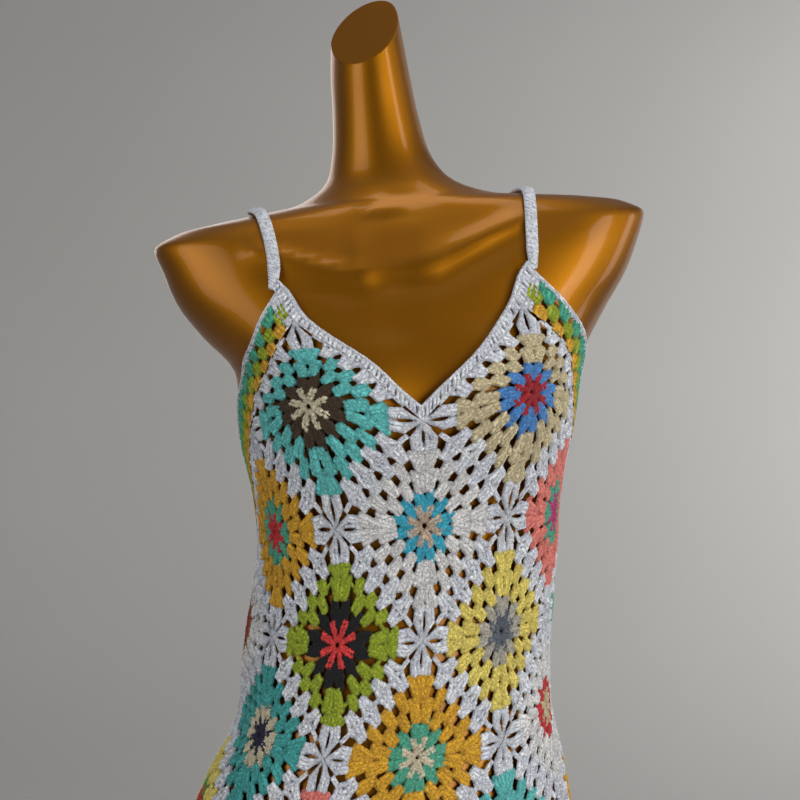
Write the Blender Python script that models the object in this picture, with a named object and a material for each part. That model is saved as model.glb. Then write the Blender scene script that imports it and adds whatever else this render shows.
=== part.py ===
"""Crochet dress of joined granny squares, worn by a limbless dress form on a plain stand.

Metres, +Z up. The front faces -Y and +X is the viewer's right. The origin is the centre of the
stand's underside. Every cloth piece is a thin wall laid on one surface, the dress surface, and is
drawn first on a flat chart of it:
  u  goes round the body in squares: 0 is the centre front, 1.5 the +X side, 3 the centre back
  v  goes down the body in half diagonals of a square: 0 is the bust line
"""
import math

import bmesh
import bpy
import numpy as np
from mathutils import Vector
from mathutils.bvhtree import BVHTree
from mathutils.geometry import delaunay_2d_cdt

# ---------------------------------------------------------------- driving dimensions
BUST_HEIGHT = 0.820          # floor to the bust line
BUST_SHIFT = 0.020           # the hips stand over the pole, so the bust leans this far to +X
CLOTH = 0.0025               # thickness of the crochet wall
SEAM = 0.004                 # gap at a seam, as a share of a square's side: 0.3 to 0.6 mm
PIECE_GAP = 0.0003           # gap between hard pieces that touch

SQUARES_ROUND = 6
LAST_ROW = 7                 # level of the centres of the lowest squares

BAND_WIDTH = 0.27            # armhole band, as a share of a square's side
EDGING_WIDTH = 0.06          # neckline and hem edging, as a share of a square's side

STRAP_WIDTH = 0.0105
STRAP_THICK = 0.0045
STRAP_CLEARANCE = 0.0018     # from the form to the strap's underside
STRAP_STATIONS = 30
STRAP_SIDES = 8

POLE_RADIUS = 0.0125
BASE_RADIUS = 0.170
BASE_EDGE = 0.008            # height of the base's upright rim
BASE_HUB_RADIUS = 0.030
BASE_HEIGHT = 0.022

# ---------------------------------------------------------------- section tables
# Sections of the body, from the lowest up. height is from the bust line; front and back are the
# depths from the plane y = 0; square is the superellipse power; tilt lifts the +X side.
SECTION_COLUMNS = ("height", "centre", "half", "front", "back", "square", "tilt")

DRESS_SECTIONS = (
    (-0.720, -0.020, 0.1630, 0.110, 0.117, 2.15, 0.0),
    (-0.560, -0.020, 0.1625, 0.108, 0.117, 2.15, 0.0),
    (-0.450, -0.020, 0.1615, 0.106, 0.117, 2.20, 0.3),
    (-0.380, -0.019, 0.1600, 0.105, 0.119, 2.20, 1.0),   # full hip
    (-0.330, -0.017, 0.1520, 0.102, 0.116, 2.20, 2.0),
    (-0.285, -0.012, 0.1385, 0.097, 0.107, 2.20, 2.6),
    (-0.240, -0.006, 0.1235, 0.091, 0.095, 2.20, 3.0),
    (-0.195, -0.004, 0.1216, 0.086, 0.085, 2.20, 3.2),
    (-0.160, 0.000, 0.1204, 0.085, 0.080, 2.20, 3.4),
    (-0.105, 0.005, 0.1188, 0.090, 0.079, 2.25, 3.7),    # waist
    (-0.065, 0.005, 0.1225, 0.100, 0.083, 2.25, 3.7),
    (-0.030, 0.004, 0.1305, 0.109, 0.088, 2.30, 3.7),
    (0.006, 0.003, 0.1372, 0.111, 0.093, 2.35, 3.7),     # bust
    (0.031, 0.006, 0.1435, 0.106, 0.095, 2.40, 3.7),
    (0.061, 0.002, 0.1645, 0.096, 0.093, 2.50, 4.2),
    (0.091, 0.001, 0.1845, 0.0865, 0.088, 2.60, 4.7),
    (0.116, 0.001, 0.1945, 0.077, 0.081, 2.70, 5.0),
)

FORM_SECTIONS = (
    (-0.480, -0.020, 0.1380, 0.084, 0.094, 2.20, 0.0),   # flat underside
    (-0.440, -0.020, 0.1470, 0.092, 0.106, 2.20, 0.3),
    (-0.380, -0.019, 0.1515, 0.097, 0.111, 2.20, 1.0),   # full hip
    (-0.330, -0.017, 0.1460, 0.096, 0.109, 2.20, 2.0),
    (-0.285, -0.012, 0.1335, 0.092, 0.101, 2.20, 2.6),
    (-0.240, -0.006, 0.1190, 0.086, 0.090, 2.20, 3.0),
    (-0.195, -0.004, 0.1160, 0.081, 0.080, 2.20, 3.2),
    (-0.160, 0.000, 0.1157, 0.080, 0.075, 2.20, 3.4),
    (-0.105, 0.005, 0.1143, 0.084, 0.074, 2.25, 3.7),    # waist
    (-0.065, 0.005, 0.1180, 0.092, 0.078, 2.25, 3.7),
    (-0.030, 0.004, 0.1260, 0.099, 0.083, 2.30, 3.7),
    (0.006, 0.003, 0.1325, 0.101, 0.088, 2.35, 3.7),     # bust
    (0.031, 0.006, 0.1390, 0.098, 0.090, 2.40, 3.7),
    (0.061, 0.002, 0.1600, 0.090, 0.088, 2.50, 4.2),
    (0.091, 0.001, 0.1800, 0.081, 0.083, 2.60, 4.7),
    (0.116, 0.001, 0.1900, 0.072, 0.076, 2.70, 5.0),
    (0.134, 0.000, 0.1960, 0.064, 0.069, 2.70, 5.0),     # shoulder tips
    (0.143, 0.000, 0.1830, 0.060, 0.065, 2.60, 5.0),
    (0.1495, 0.000, 0.1550, 0.057, 0.061, 2.50, 5.0),
    (0.1545, -0.002, 0.1150, 0.054, 0.057, 2.40, 4.8),
    (0.1615, -0.006, 0.0740, 0.050, 0.051, 2.20, 4.2),
    (0.177, -0.0115, 0.0480, 0.044, 0.042, 2.10, 2.5),   # root of the neck
    (0.192, -0.0156, 0.0404, 0.041, 0.037, 2.00, 1.0),
    (0.224, -0.0208, 0.0344, 0.039, 0.033, 2.00, 0.0),
    (0.256, -0.0252, 0.0316, 0.040, 0.029, 2.00, 0.0),
    (0.296, -0.0290, 0.0275, 0.041, 0.026, 2.00, 0.0),
    (0.346, -0.0350, 0.0215, 0.042, 0.022, 2.00, 0.0),   # above the slanted cut
)

# The two cups of the bust: where they stand out most, how far they reach and how far they stand out.
CUP_X = 0.078
CUP_HEIGHT = -0.002
CUP_REACH_X = 0.050
CUP_REACH_Z = 0.046
CUP_OUT_FORM = 0.013
CUP_OUT_DRESS = 0.0095

# The neck ends in a slanted flat cut that faces up, forward and to -X.
NECK_CUT_POINT = (-0.029, -0.006, 0.2940)
NECK_CUT_NORMAL = (-0.64, -0.87, 1.0)

# Levels of the squares' corners. height is from the bust line; bow lifts the level at both sides;
# twist turns it towards +X, in squares; spread widens the front above the bust.
LEVEL_COLUMNS = ("v", "height", "bow", "twist", "spread")
LEVELS = (
    (-1.50, 0.110, 0.000, -0.070, 0.00),
    (-1.27, 0.0925, 0.000, -0.062, 0.00),                # strap tips
    (-1.00, 0.0655, 0.000, -0.045, 0.07),
    (0.00, -0.0075, 0.000, -0.010, 0.00),
    (1.00, -0.094, 0.000, 0.005, 0.00),
    (2.00, -0.182, 0.012, 0.060, 0.00),
    (3.00, -0.267, 0.030, 0.065, 0.00),
    (4.00, -0.350, 0.040, 0.060, 0.00),
    (5.00, -0.430, 0.036, 0.030, 0.00),
    (6.00, -0.509, 0.028, 0.000, 0.00),
    (7.00, -0.587, 0.020, 0.000, 0.00),
    (8.20, -0.680, 0.012, 0.000, 0.00),
)
ARC_HEIGHT = 0.020           # above this height a square keeps the width it has here
NECK_DIP = 0.008             # the bust line dips between the cups and under the arms
FRONT_CROWD = 0.060          # front squares are wider at the centre front than at the sides
BUST_CROWD = 0.035           # and more so over the bust
BACK_CROWD = 0.030
FOLD_TOP = 4.0               # level where the skirt's soft folds start
FOLD_OUT = 0.0055            # how far the hem's points swing out, and its notches in

# ---------------------------------------------------------------- colours, sRGB 0 to 255
YARN = {
    "white": (210, 210, 220),
    "ecru": (200, 198, 190),
    "aqua": (95, 185, 180),
    "beige": (190, 175, 140),
    "mint": (80, 160, 130),
    "gold": (205, 155, 45),
    "coral": (230, 125, 115),
    "lime": (135, 155, 35),
    "yellow": (215, 195, 95),
    "red": (200, 45, 50),
    "blue": (75, 130, 195),
    "teal": (75, 160, 155),
}
FORM_GOLD = (150, 95, 20)
POLE_GREY = (150, 150, 152)
BASE_BLACK = (28, 28, 30)

# Places round a row, with u, and the main colour that each row has there.
ODD_PLACES = (("front", 0), ("right_front", 1), ("right_back", 2), ("back", 3),
              ("left_back", -2), ("left_front", -1))
EVEN_PLACES = (("front_right", 0.5), ("right", 1.5), ("back_right", 2.5),
               ("back_left", -2.5), ("left", -1.5), ("front_left", -0.5))
CUP_PLACES = (("front_right", 0.5), ("back_right", 2.5), ("back_left", -2.5), ("front_left", -0.5))
CUP_COLOURS = ("beige", "gold", "mint", "aqua")
ROW_COLOURS = {
    1: ("ecru", "coral", "aqua", "lime", "blue", "gold"),
    2: ("yellow", "mint", "red", "beige", "ecru", "lime"),
    3: ("gold", "ecru", "coral", "aqua", "yellow", "teal"),
    4: ("aqua", "gold", "blue", "mint", "coral", "coral"),
    5: ("beige", "blue", "yellow", "red", "lime", "mint"),
    6: ("lime", "coral", "teal", "gold", "aqua", "red"),
    7: ("aqua", "yellow", "mint", "coral", "gold", "beige"),
}


# ---------------------------------------------------------------- the body's surfaces
def table(rows, columns):
    """A short table as a dictionary of arrays, one for each named column."""
    return dict(zip(columns, np.array(rows, float).T))


def smooth(xs, ys, x):
    """Cubic curve through the table's points, without overshoot."""
    steps = np.diff(ys) / np.diff(xs)
    wide = np.diff(xs)
    inner = (wide[1:] * steps[:-1] + wide[:-1] * steps[1:]) / (wide[1:] + wide[:-1])
    limit = 3 * np.minimum(np.abs(steps[:-1]), np.abs(steps[1:]))
    inner = np.where(steps[:-1] * steps[1:] <= 0, 0, np.clip(inner, -limit, limit))
    slope = np.concatenate([steps[:1], inner, steps[-1:]])
    x = np.clip(x, xs[0], xs[-1])
    i = np.clip(np.searchsorted(xs, x, side="right") - 1, 0, len(xs) - 2)
    t = (x - xs[i]) / wide[i]
    rise = t * t * (3 - 2 * t)
    enter = t * (1 - t) ** 2 * wide[i] * slope[i]
    leave = t * t * (1 - t) * wide[i] * slope[i + 1]
    return ys[i] * (1 - rise) + ys[i + 1] * rise + enter - leave


def section_point(section, angle, cup_out):
    """Point of a section at an angle, 0 at the centre front and growing towards +X."""
    power = 2 / section["square"]
    side = np.sin(angle)
    ahead = np.cos(angle)
    x = section["half"] * np.sign(side) * np.abs(side) ** power
    depth = np.where(ahead > 0, section["front"], section["back"])
    y = -depth * np.sign(ahead) * np.abs(ahead) ** power
    near = np.exp(-((section["height"] - CUP_HEIGHT) / CUP_REACH_Z) ** 2)
    cups = sum(np.exp(-((x - sign * CUP_X) / CUP_REACH_X) ** 2) for sign in (-1, 1))
    y = y - np.where(ahead > 0, cup_out * near * cups * np.abs(ahead) ** 0.8, 0)
    x = x + section["centre"]
    z = section["height"] + np.tan(np.radians(section["tilt"])) * x
    return x + BUST_SHIFT, y, z + BUST_HEIGHT


def dress_section(height):
    """The dress's section at a height."""
    rows = table(DRESS_SECTIONS, SECTION_COLUMNS)
    section = {name: smooth(rows["height"], rows[name], height) for name in SECTION_COLUMNS[1:]}
    section["height"] = height
    return section


def walk_section(height, is_front, steps=72):
    """Points of a quarter section from its centre line to its side, and the lengths up to them."""
    quarter = np.linspace(0, math.pi / 2, steps + 1)[None, :]
    angle = np.where(is_front[:, None], quarter, math.pi - quarter)
    section = dress_section(height[:, None] + 0 * angle)
    x, y, _ = section_point(section, angle, CUP_OUT_DRESS)
    lengths = np.cumsum(np.hypot(np.diff(x), np.diff(y)), axis=1)
    return x, y, np.concatenate([np.zeros((len(height), 1)), lengths], axis=1)


def chart_point(u, v):
    """Points of the dress surface for flat arrays of chart places."""
    level = table(LEVELS, LEVEL_COLUMNS)
    at_level = {name: smooth(level["v"], level[name], v) for name in LEVEL_COLUMNS[1:]}
    half_round = SQUARES_ROUND / 2
    turned = (u + at_level["twist"] + half_round) % SQUARES_ROUND - half_round
    is_front = np.abs(turned) <= half_round / 2
    share = np.where(is_front, np.abs(turned), half_round - np.abs(turned)) / (half_round / 2)

    height = at_level["height"] + at_level["bow"] * np.abs(np.sin(turned * math.pi / half_round)) ** 3
    near_bust = np.exp(-(v / 0.6) ** 2)
    height = height - np.where(is_front, NECK_DIP * np.cos(2 * math.pi * turned) * near_bust, 0)

    crowd = np.where(is_front, FRONT_CROWD + BUST_CROWD * np.exp(-(v / 0.8) ** 2), BACK_CROWD)
    share = share + crowd * np.sin(math.pi * share)
    share = share * np.where(is_front, 1 + at_level["spread"], 1)

    x, y, lengths = walk_section(height, is_front)
    at_bust = walk_section(np.minimum(height, ARC_HEIGHT), is_front)[2][:, -1]
    target = share * at_bust
    i = np.clip((lengths < target[:, None]).sum(axis=1) - 1, 0, lengths.shape[1] - 2)
    row = np.arange(len(i))
    part = (target - lengths[row, i]) / (lengths[row, i + 1] - lengths[row, i])
    x_at = x[row, i] + part * (x[row, i + 1] - x[row, i])
    y_at = y[row, i] + part * (y[row, i + 1] - y[row, i])

    section = dress_section(height)
    middle = section["centre"] + BUST_SHIFT
    fall = np.clip((v - FOLD_TOP) / (LAST_ROW + 1 - FOLD_TOP), 0, 1)
    swing = 1 + FOLD_OUT * fall ** 2 * np.cos(2 * math.pi * u) / np.hypot(x_at - middle, y_at)
    x_at = middle + (x_at - middle) * swing
    y_at = y_at * swing
    x_at = np.where(turned >= 0, x_at, 2 * middle - x_at)
    z_at = height + np.tan(np.radians(section["tilt"])) * (x_at - BUST_SHIFT) + BUST_HEIGHT
    return np.stack([x_at, y_at, z_at], axis=-1)


def chart_normal(u, v, reach=0.06):
    """Outward unit normals of the dress surface."""
    across = chart_point(u + reach, v) - chart_point(u - reach, v)
    down = chart_point(u, v + 2 * reach) - chart_point(u, v - 2 * reach)
    normal = np.cross(down, across)
    return normal / np.linalg.norm(normal, axis=1)[:, None]


# ---------------------------------------------------------------- meshes
def srgb(colour):
    """Linear colour from an sRGB one."""
    c = np.array(colour) / 255
    linear = np.where(c <= 0.04045, c / 12.92, ((c + 0.055) / 1.055) ** 2.4)
    return (*linear, 1.0)


def material(name, colour, roughness, metallic=0.0):
    """Plain Principled material."""
    made = bpy.data.materials.new(name)
    made.use_nodes = True
    shader = made.node_tree.nodes["Principled BSDF"]
    shader.inputs["Base Color"].default_value = srgb(colour)
    shader.inputs["Roughness"].default_value = roughness
    shader.inputs["Metallic"].default_value = metallic
    return made


def add_object(name, points, faces, finish):
    """One closed body as an object of its own, with its normals outward."""
    mesh = bpy.data.meshes.new(name)
    mesh.from_pydata([tuple(p) for p in points], [], [tuple(f) for f in faces])
    shape = bmesh.new()
    shape.from_mesh(mesh)
    bmesh.ops.recalc_face_normals(shape, faces=shape.faces)
    shape.to_mesh(mesh)
    shape.free()
    mesh.materials.append(finish)
    made = bpy.data.objects.new(name, mesh)
    bpy.context.collection.objects.link(made)
    return made


def add_wall(name, u, v, faces, finish):
    """Cloth wall: the chart's faces laid on the dress surface, thickened to both sides."""
    points = chart_point(u, v)
    normals = chart_normal(u, v)
    count = len(points)
    both = np.concatenate([points + normals * CLOTH / 2, points - normals * CLOTH / 2])
    sides = {}
    for face in faces:
        for a, b in zip(face, face[1:] + face[:1]):
            if (b, a) in sides:
                del sides[(b, a)]
            else:
                sides[(a, b)] = True
    inner = [[count + i for i in reversed(face)] for face in faces]
    rims = [(b, a, count + a, count + b) for a, b in sides]
    return add_object(name, both, faces + inner + rims, finish)


def strip_faces(along, across):
    """Faces of a grid of points, along first."""
    return [[i * (across + 1) + j, (i + 1) * (across + 1) + j,
             (i + 1) * (across + 1) + j + 1, i * (across + 1) + j + 1]
            for i in range(along) for j in range(across)]


# ---------------------------------------------------------------- granny squares
SIDE_STEPS = 6               # steps along a side, shared with the neighbours
GAP_NEAR = (0.60, 0.81)      # along the side, the large gap beside a corner, in half sides
GAP_DEEP = (0.81, 0.955)     # and from the last round but one out to the seam


def corner_gap(corner_s, corner_t, along_s):
    """Outline of the large gap beside a corner, along the s side or the t side."""
    near, far = GAP_NEAR
    deep, rim = GAP_DEEP
    outline = ((deep, near + 0.03), (rim, near), (rim, far), (deep + 0.02, far))
    if along_s:
        return [(corner_s * b, corner_t * a) for a, b in outline]
    return [(corner_s * a, corner_t * b) for a, b in outline]


def square_template():
    """Flat square with six gaps: points from -1 to 1 each way, and faces."""
    steps = np.linspace(-1, 1, SIDE_STEPS + 1)[:-1]
    outline = [(p, -1) for p in steps] + [(1, p) for p in steps]
    outline += [(-p, 1) for p in steps] + [(-1, -p) for p in steps]
    gaps = [corner_gap(-1, -1, True), corner_gap(-1, -1, False),
            corner_gap(1, 1, True), corner_gap(1, 1, False),
            corner_gap(1, -1, True), corner_gap(-1, 1, False)]
    inside = [(a, b) for a in (-0.5, 0, 0.5) for b in (-0.5, 0, 0.5)]

    points = list(outline)
    loops = [list(range(len(outline)))]
    for gap in gaps:
        loops.append(list(range(len(points), len(points) + len(gap))))
        points += gap
    points += inside
    edges = [(a, b) for loop in loops for a, b in zip(loop, loop[1:] + loop[:1])]
    result = delaunay_2d_cdt([Vector(p) for p in points], edges, [], 0, 1e-6)
    kept_points = np.array([tuple(p) for p in result[0]])

    def in_gap(face):
        middle = kept_points[list(face)].mean(axis=0)
        for gap in gaps:
            turns = [np.cross(np.subtract(b, a), middle - a)
                     for a, b in zip(gap, gap[1:] + gap[:1])]
            if min(turns) > 0 or max(turns) < 0:
                return True
        return False

    return kept_points, [list(face) for face in result[2] if not in_gap(face)]


def add_square(name, centre_u, centre_v, template, finish):
    """Granny square standing on its corner at a chart place."""
    points, faces = template
    s = points[:, 0] * (1 - SEAM)
    t = points[:, 1] * (1 - SEAM)
    return add_wall(name, centre_u + (s - t) / 4, centre_v + (s + t) / 2, faces, finish)


def add_squares():
    """Four cups, then the rows of six squares down to the hem."""
    template = square_template()
    finishes = {name: material("yarn_" + name, colour, 0.85) for name, colour in YARN.items()}
    for (place, u), colour in zip(CUP_PLACES, CUP_COLOURS):
        add_square("cup_" + place, u, 0, template, finishes[colour])
    for row in range(1, LAST_ROW + 1):
        places = ODD_PLACES if row % 2 else EVEN_PLACES
        for (place, u), colour in zip(places, ROW_COLOURS[row]):
            add_square(f"square_row{row + 1}_{place}", u, row, template, finishes[colour])
    return finishes


# ---------------------------------------------------------------- bands and edgings
def add_armhole_band(name, sign, finish):
    """Striped band along an armhole: down the cup and the underarm square, and up at the back."""
    along = 2 * SIDE_STEPS
    across = 2
    front = []
    for i in range(along + 1):
        for j in range(across + 1):
            w = SEAM + (BAND_WIDTH - SEAM) * j / across
            r = (2 - w) * i / along
            front.append((0.5 + (r + w) / 2, -1 + r - w))
    line = across + 1
    rows = [front[i * line:(i + 1) * line] for i in range(along + 1)]
    back = [[(SQUARES_ROUND / 2 - u, v) for u, v in row] for row in reversed(rows[:-1])]
    points = np.array([p for row in rows + back for p in row])
    return add_wall(name, sign * points[:, 0], points[:, 1], strip_faces(2 * along, across), finish)


def add_neckline_edging(name, middle_u, finish):
    """White edging along a V neckline, from strap tip to strap tip."""
    stops = [i / SIDE_STEPS for i in range(SIDE_STEPS + 1)]
    stops += [1 + BAND_WIDTH / 2, 1 + BAND_WIDTH]
    rows = []
    for r in stops:
        row = []
        for e in (SEAM, EDGING_WIDTH):
            run = e + (stops[-1] - e) * r / stops[-1]
            row.append(((run - e) / 2, -run - e))
        rows.append(row)
    other = [[(-u, v) for u, v in row] for row in reversed(rows[1:])]
    points = np.array([p for row in other + rows for p in row])
    faces = strip_faces(2 * len(stops) - 2, 1)
    return add_wall(name, middle_u + points[:, 0], points[:, 1], faces, finish)


def add_hem_edging(name, middle_u, finish):
    """White edging along the zigzag hem of three squares."""
    sides = 6
    points = []
    for i in range(sides * SIDE_STEPS + 1):
        u = -sides / 4 + i / (2 * SIDE_STEPS)
        zigzag = LAST_ROW + 1 - 2 * abs(u - round(u))
        ends = 0.001 * ((i == 0) - (i == sides * SIDE_STEPS))
        points += [(u + ends, zigzag + 2 * e) for e in (SEAM, EDGING_WIDTH)]
    points = np.array(points)
    faces = strip_faces(sides * SIDE_STEPS, 1)
    return add_wall(name, middle_u + points[:, 0], points[:, 1], faces, finish)


# ---------------------------------------------------------------- dress form and stand
FORM_SIDES = 24


def add_form():
    """Smooth limbless torso with shoulder stubs and a slanted neck cut, lofted from its sections."""
    rows = table(FORM_SECTIONS, SECTION_COLUMNS)
    run = np.concatenate([[0], np.cumsum(np.hypot(np.diff(rows["height"]), np.diff(rows["half"])))])
    halfway = (run[1:] + run[:-1]) / 2
    stations = np.sort(np.concatenate([run, halfway]))
    angle = np.linspace(0, 2 * math.pi, FORM_SIDES, endpoint=False)
    points = []
    for at in stations:
        section = {name: smooth(run, rows[name], np.full(FORM_SIDES, at)) for name in SECTION_COLUMNS}
        points += list(zip(*section_point(section, angle, CUP_OUT_FORM)))
    faces = [tuple(range(FORM_SIDES)), tuple(range(len(points) - FORM_SIDES, len(points)))]
    for i in range(len(stations) - 1):
        for j in range(FORM_SIDES):
            k = (j + 1) % FORM_SIDES
            low, high = i * FORM_SIDES, (i + 1) * FORM_SIDES
            faces.append((low + j, low + k, high + k, high + j))
    made = add_object("form_torso", points, faces, material("form_gold", FORM_GOLD, 0.25, 0.8))

    shape = bmesh.new()
    shape.from_mesh(made.data)
    everything = shape.verts[:] + shape.edges[:] + shape.faces[:]
    x, y, z = NECK_CUT_POINT
    cut = bmesh.ops.bisect_plane(shape, geom=everything, plane_no=NECK_CUT_NORMAL, clear_outer=True,
                                 plane_co=(x + BUST_SHIFT, y, z + BUST_HEIGHT))
    rim = [item for item in cut["geom_cut"] if isinstance(item, bmesh.types.BMEdge)]
    bmesh.ops.edgenet_fill(shape, edges=rim)
    bmesh.ops.recalc_face_normals(shape, faces=shape.faces)
    shape.to_mesh(made.data)
    shape.free()
    return made


def form_underside():
    """Height of the form's flat underside."""
    return BUST_HEIGHT + FORM_SECTIONS[0][0]


def add_pole(sides=24):
    """Tube from the base to the form's underside."""
    low = BASE_HEIGHT + PIECE_GAP
    high = form_underside() - PIECE_GAP
    angle = [2 * math.pi * i / sides for i in range(sides)]
    ring = [(POLE_RADIUS * math.cos(a), POLE_RADIUS * math.sin(a)) for a in angle]
    points = [(x, y, low) for x, y in ring] + [(x, y, high) for x, y in ring]
    faces = [tuple(range(sides)), tuple(range(sides, 2 * sides))]
    faces += [(i, (i + 1) % sides, sides + (i + 1) % sides, sides + i) for i in range(sides)]
    add_object("stand_pole", points, faces, material("pole_steel", POLE_GREY, 0.25, 1.0))


def add_base(sides=40):
    """Round base plate, slightly domed up to the pole."""
    profile = ((BASE_RADIUS, 0), (BASE_RADIUS, BASE_EDGE), (BASE_HUB_RADIUS, BASE_HEIGHT))
    angle = [2 * math.pi * i / sides for i in range(sides)]
    points = [(r * math.cos(a), r * math.sin(a), z) for r, z in profile for a in angle]
    faces = [tuple(range(sides)), tuple(range(2 * sides, 3 * sides))]
    for ring in range(2):
        for i in range(sides):
            k = (i + 1) % sides
            low, high = ring * sides, (ring + 1) * sides
            faces.append((low + i, low + k, high + k, high + i))
    add_object("stand_base", points, faces, material("base_black", BASE_BLACK, 0.5, 0.0))


# ---------------------------------------------------------------- straps
STRAP_START_U = 0.625        # chart place of a strap's sewn end
STRAP_START_V = -1.322
STRAP_BOW = {-1: -0.026, 1: 0.002}  # how far a strap bows sideways over the shoulder
STRAP_TAPER = 0.35           # share of its width that a strap loses at its ends
STRAP_TAPER_STATIONS = 2


def strap_route(form, sign):
    """Middle points and outward normals of a strap over the shoulder, front tip to back tip."""
    tree = BVHTree.FromPolygons([v.co for v in form.data.vertices],
                                [p.vertices[:] for p in form.data.polygons])
    ends = chart_point(np.array([sign * STRAP_START_U, sign * (SQUARES_ROUND / 2 - STRAP_START_U)]),
                       np.array([STRAP_START_V, STRAP_START_V]))
    front, back = (Vector(end) for end in ends)
    axis_z = (front.z + back.z) / 2
    lift = STRAP_CLEARANCE + STRAP_THICK / 2
    start = math.atan2(front.z - axis_z, -front.y)
    stop = math.pi - math.atan2(back.z - axis_z, back.y)
    points, normals = [], []
    for i in range(STRAP_STATIONS):
        share = i / (STRAP_STATIONS - 1)
        turn = start + (stop - start) * share
        bow = STRAP_BOW[sign] * math.sin(math.pi * share) ** 2
        x = front.x + (back.x - front.x) * share + bow
        away = Vector((0, -math.cos(turn), math.sin(turn)))
        hit, normal, _, _ = tree.ray_cast(Vector((x, 0, axis_z)) + away, -away)
        points.append(np.array(hit))
        normals.append(np.array(normal))
    kernel = (0.25, 0.5, 0.25)
    for _ in range(3):
        inner = [sum(k * normals[i + j - 1] for j, k in enumerate(kernel))
                 for i in range(1, STRAP_STATIONS - 1)]
        normals = [normals[0]] + inner + [normals[-1]]
    normals = [n / np.linalg.norm(n) for n in normals]
    return [p + n * lift for p, n in zip(points, normals)], normals


def add_strap(name, form, sign, finish):
    """Flat crocheted cord over one shoulder."""
    middles, normals = strap_route(form, sign)
    points = []
    for i, (middle, normal) in enumerate(zip(middles, normals)):
        ahead = middles[min(i + 1, len(middles) - 1)] - middles[max(i - 1, 0)]
        side = np.cross(ahead, normal)
        side /= np.linalg.norm(side)
        from_end = min(i, len(middles) - 1 - i)
        side *= 1 - STRAP_TAPER * max(0, 1 - from_end / STRAP_TAPER_STATIONS)
        for j in range(STRAP_SIDES):
            a = 2 * math.pi * (j + 0.5) / STRAP_SIDES
            points.append(middle + side * STRAP_WIDTH / 2 * math.cos(a)
                          + normal * STRAP_THICK / 2 * math.sin(a))
    faces = [tuple(range(STRAP_SIDES)), tuple(range(len(points) - STRAP_SIDES, len(points)))]
    for i in range(len(middles) - 1):
        for j in range(STRAP_SIDES):
            k = (j + 1) % STRAP_SIDES
            low, high = i * STRAP_SIDES, (i + 1) * STRAP_SIDES
            faces.append((low + j, low + k, high + k, high + j))
    add_object(name, points, faces, finish)


# ---------------------------------------------------------------- the whole part
def build():
    """All pieces: cloth, form and stand."""
    for old in list(bpy.data.objects):
        bpy.data.objects.remove(old, do_unlink=True)
    finishes = add_squares()
    form = add_form()
    back_u = SQUARES_ROUND / 2
    for side, sign in (("right", 1), ("left", -1)):
        add_armhole_band("armhole_band_" + side, sign, finishes["teal"])
        add_strap("strap_" + side, form, sign, finishes["white"])
    for place, middle_u in (("front", 0), ("back", back_u)):
        add_neckline_edging("neckline_edging_" + place, middle_u, finishes["white"])
        add_hem_edging("hem_edging_" + place, middle_u, finishes["white"])
    add_pole()
    add_base()


build()
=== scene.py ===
"""Looks of a crochet dress of joined granny squares on a gold limbless dress form.

Metres, +Z up, front towards -Y, +X to the viewer's right. Each square, band and edging is one
sheet of stitches in relief, open between them. A stitch is a strand drawn in its sheet's own
plane, in half sides of a square, and laid on a chart of the dress surface:
  u  goes round the body in squares: 0 is the centre front, 1.5 the +X side, 3 the centre back
  v  goes down the body in half diagonals of a square: 0 is the bust line
In a square's own plane x and y run from -1 to 1, and (1, 1) is its lowest corner.
"""
import math

import bmesh
import bpy
import numpy as np
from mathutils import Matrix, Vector
from mathutils.bvhtree import BVHTree


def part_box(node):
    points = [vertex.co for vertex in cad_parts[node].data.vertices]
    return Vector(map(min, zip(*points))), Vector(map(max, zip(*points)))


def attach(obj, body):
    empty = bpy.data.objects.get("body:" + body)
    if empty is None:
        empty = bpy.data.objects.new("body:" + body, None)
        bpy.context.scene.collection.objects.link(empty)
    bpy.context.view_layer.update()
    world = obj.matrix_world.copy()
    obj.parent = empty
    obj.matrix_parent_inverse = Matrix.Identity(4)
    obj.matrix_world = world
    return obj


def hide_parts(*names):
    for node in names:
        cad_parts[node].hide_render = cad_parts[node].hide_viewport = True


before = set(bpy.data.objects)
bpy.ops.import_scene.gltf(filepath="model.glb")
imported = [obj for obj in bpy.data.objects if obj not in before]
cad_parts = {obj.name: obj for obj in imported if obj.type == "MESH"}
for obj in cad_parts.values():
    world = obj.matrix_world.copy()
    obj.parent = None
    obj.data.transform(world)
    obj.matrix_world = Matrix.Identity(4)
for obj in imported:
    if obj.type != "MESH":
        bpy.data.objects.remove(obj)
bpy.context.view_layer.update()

RANDOM = np.random.default_rng(7)

# ---- driving dimensions
BUST_HEIGHT = 0.820
BUST_SHIFT = 0.020
SQUARES_ROUND = 6
LAST_ROW = 7
BAND_WIDTH = 0.27  # armhole band, as a share of a square's side
HALF_SIDE = 0.054  # half a square's side, lying flat
TIP_RUN = 1.27  # from the foot of a V neckline to its tip, in sides of a square

STRAP_THICK = 0.0045
STRAP_CLEARANCE = 0.0018
STRAP_START_U = 0.625
STRAP_START_V = -1.250
STRAP_BOW = {-1: -0.026, 1: 0.002}  # how far a strap bows sideways over the shoulder
STRAP_TAPER = 0.35  # share of its width that a strap loses at its ends
STRAP_TAPER_LENGTH = 0.016

POLE_RADIUS = 0.0125
BASE_RADIUS = 0.170
BASE_EDGE = 0.008
BASE_HUB_RADIUS = 0.030
BASE_HEIGHT = 0.022

LOOP_PITCH = 0.0027  # from one loop of a stitch to the next

# ---- section tables
SECTION_COLUMNS = ("height", "centre", "half", "front", "back", "square", "tilt")

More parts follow.
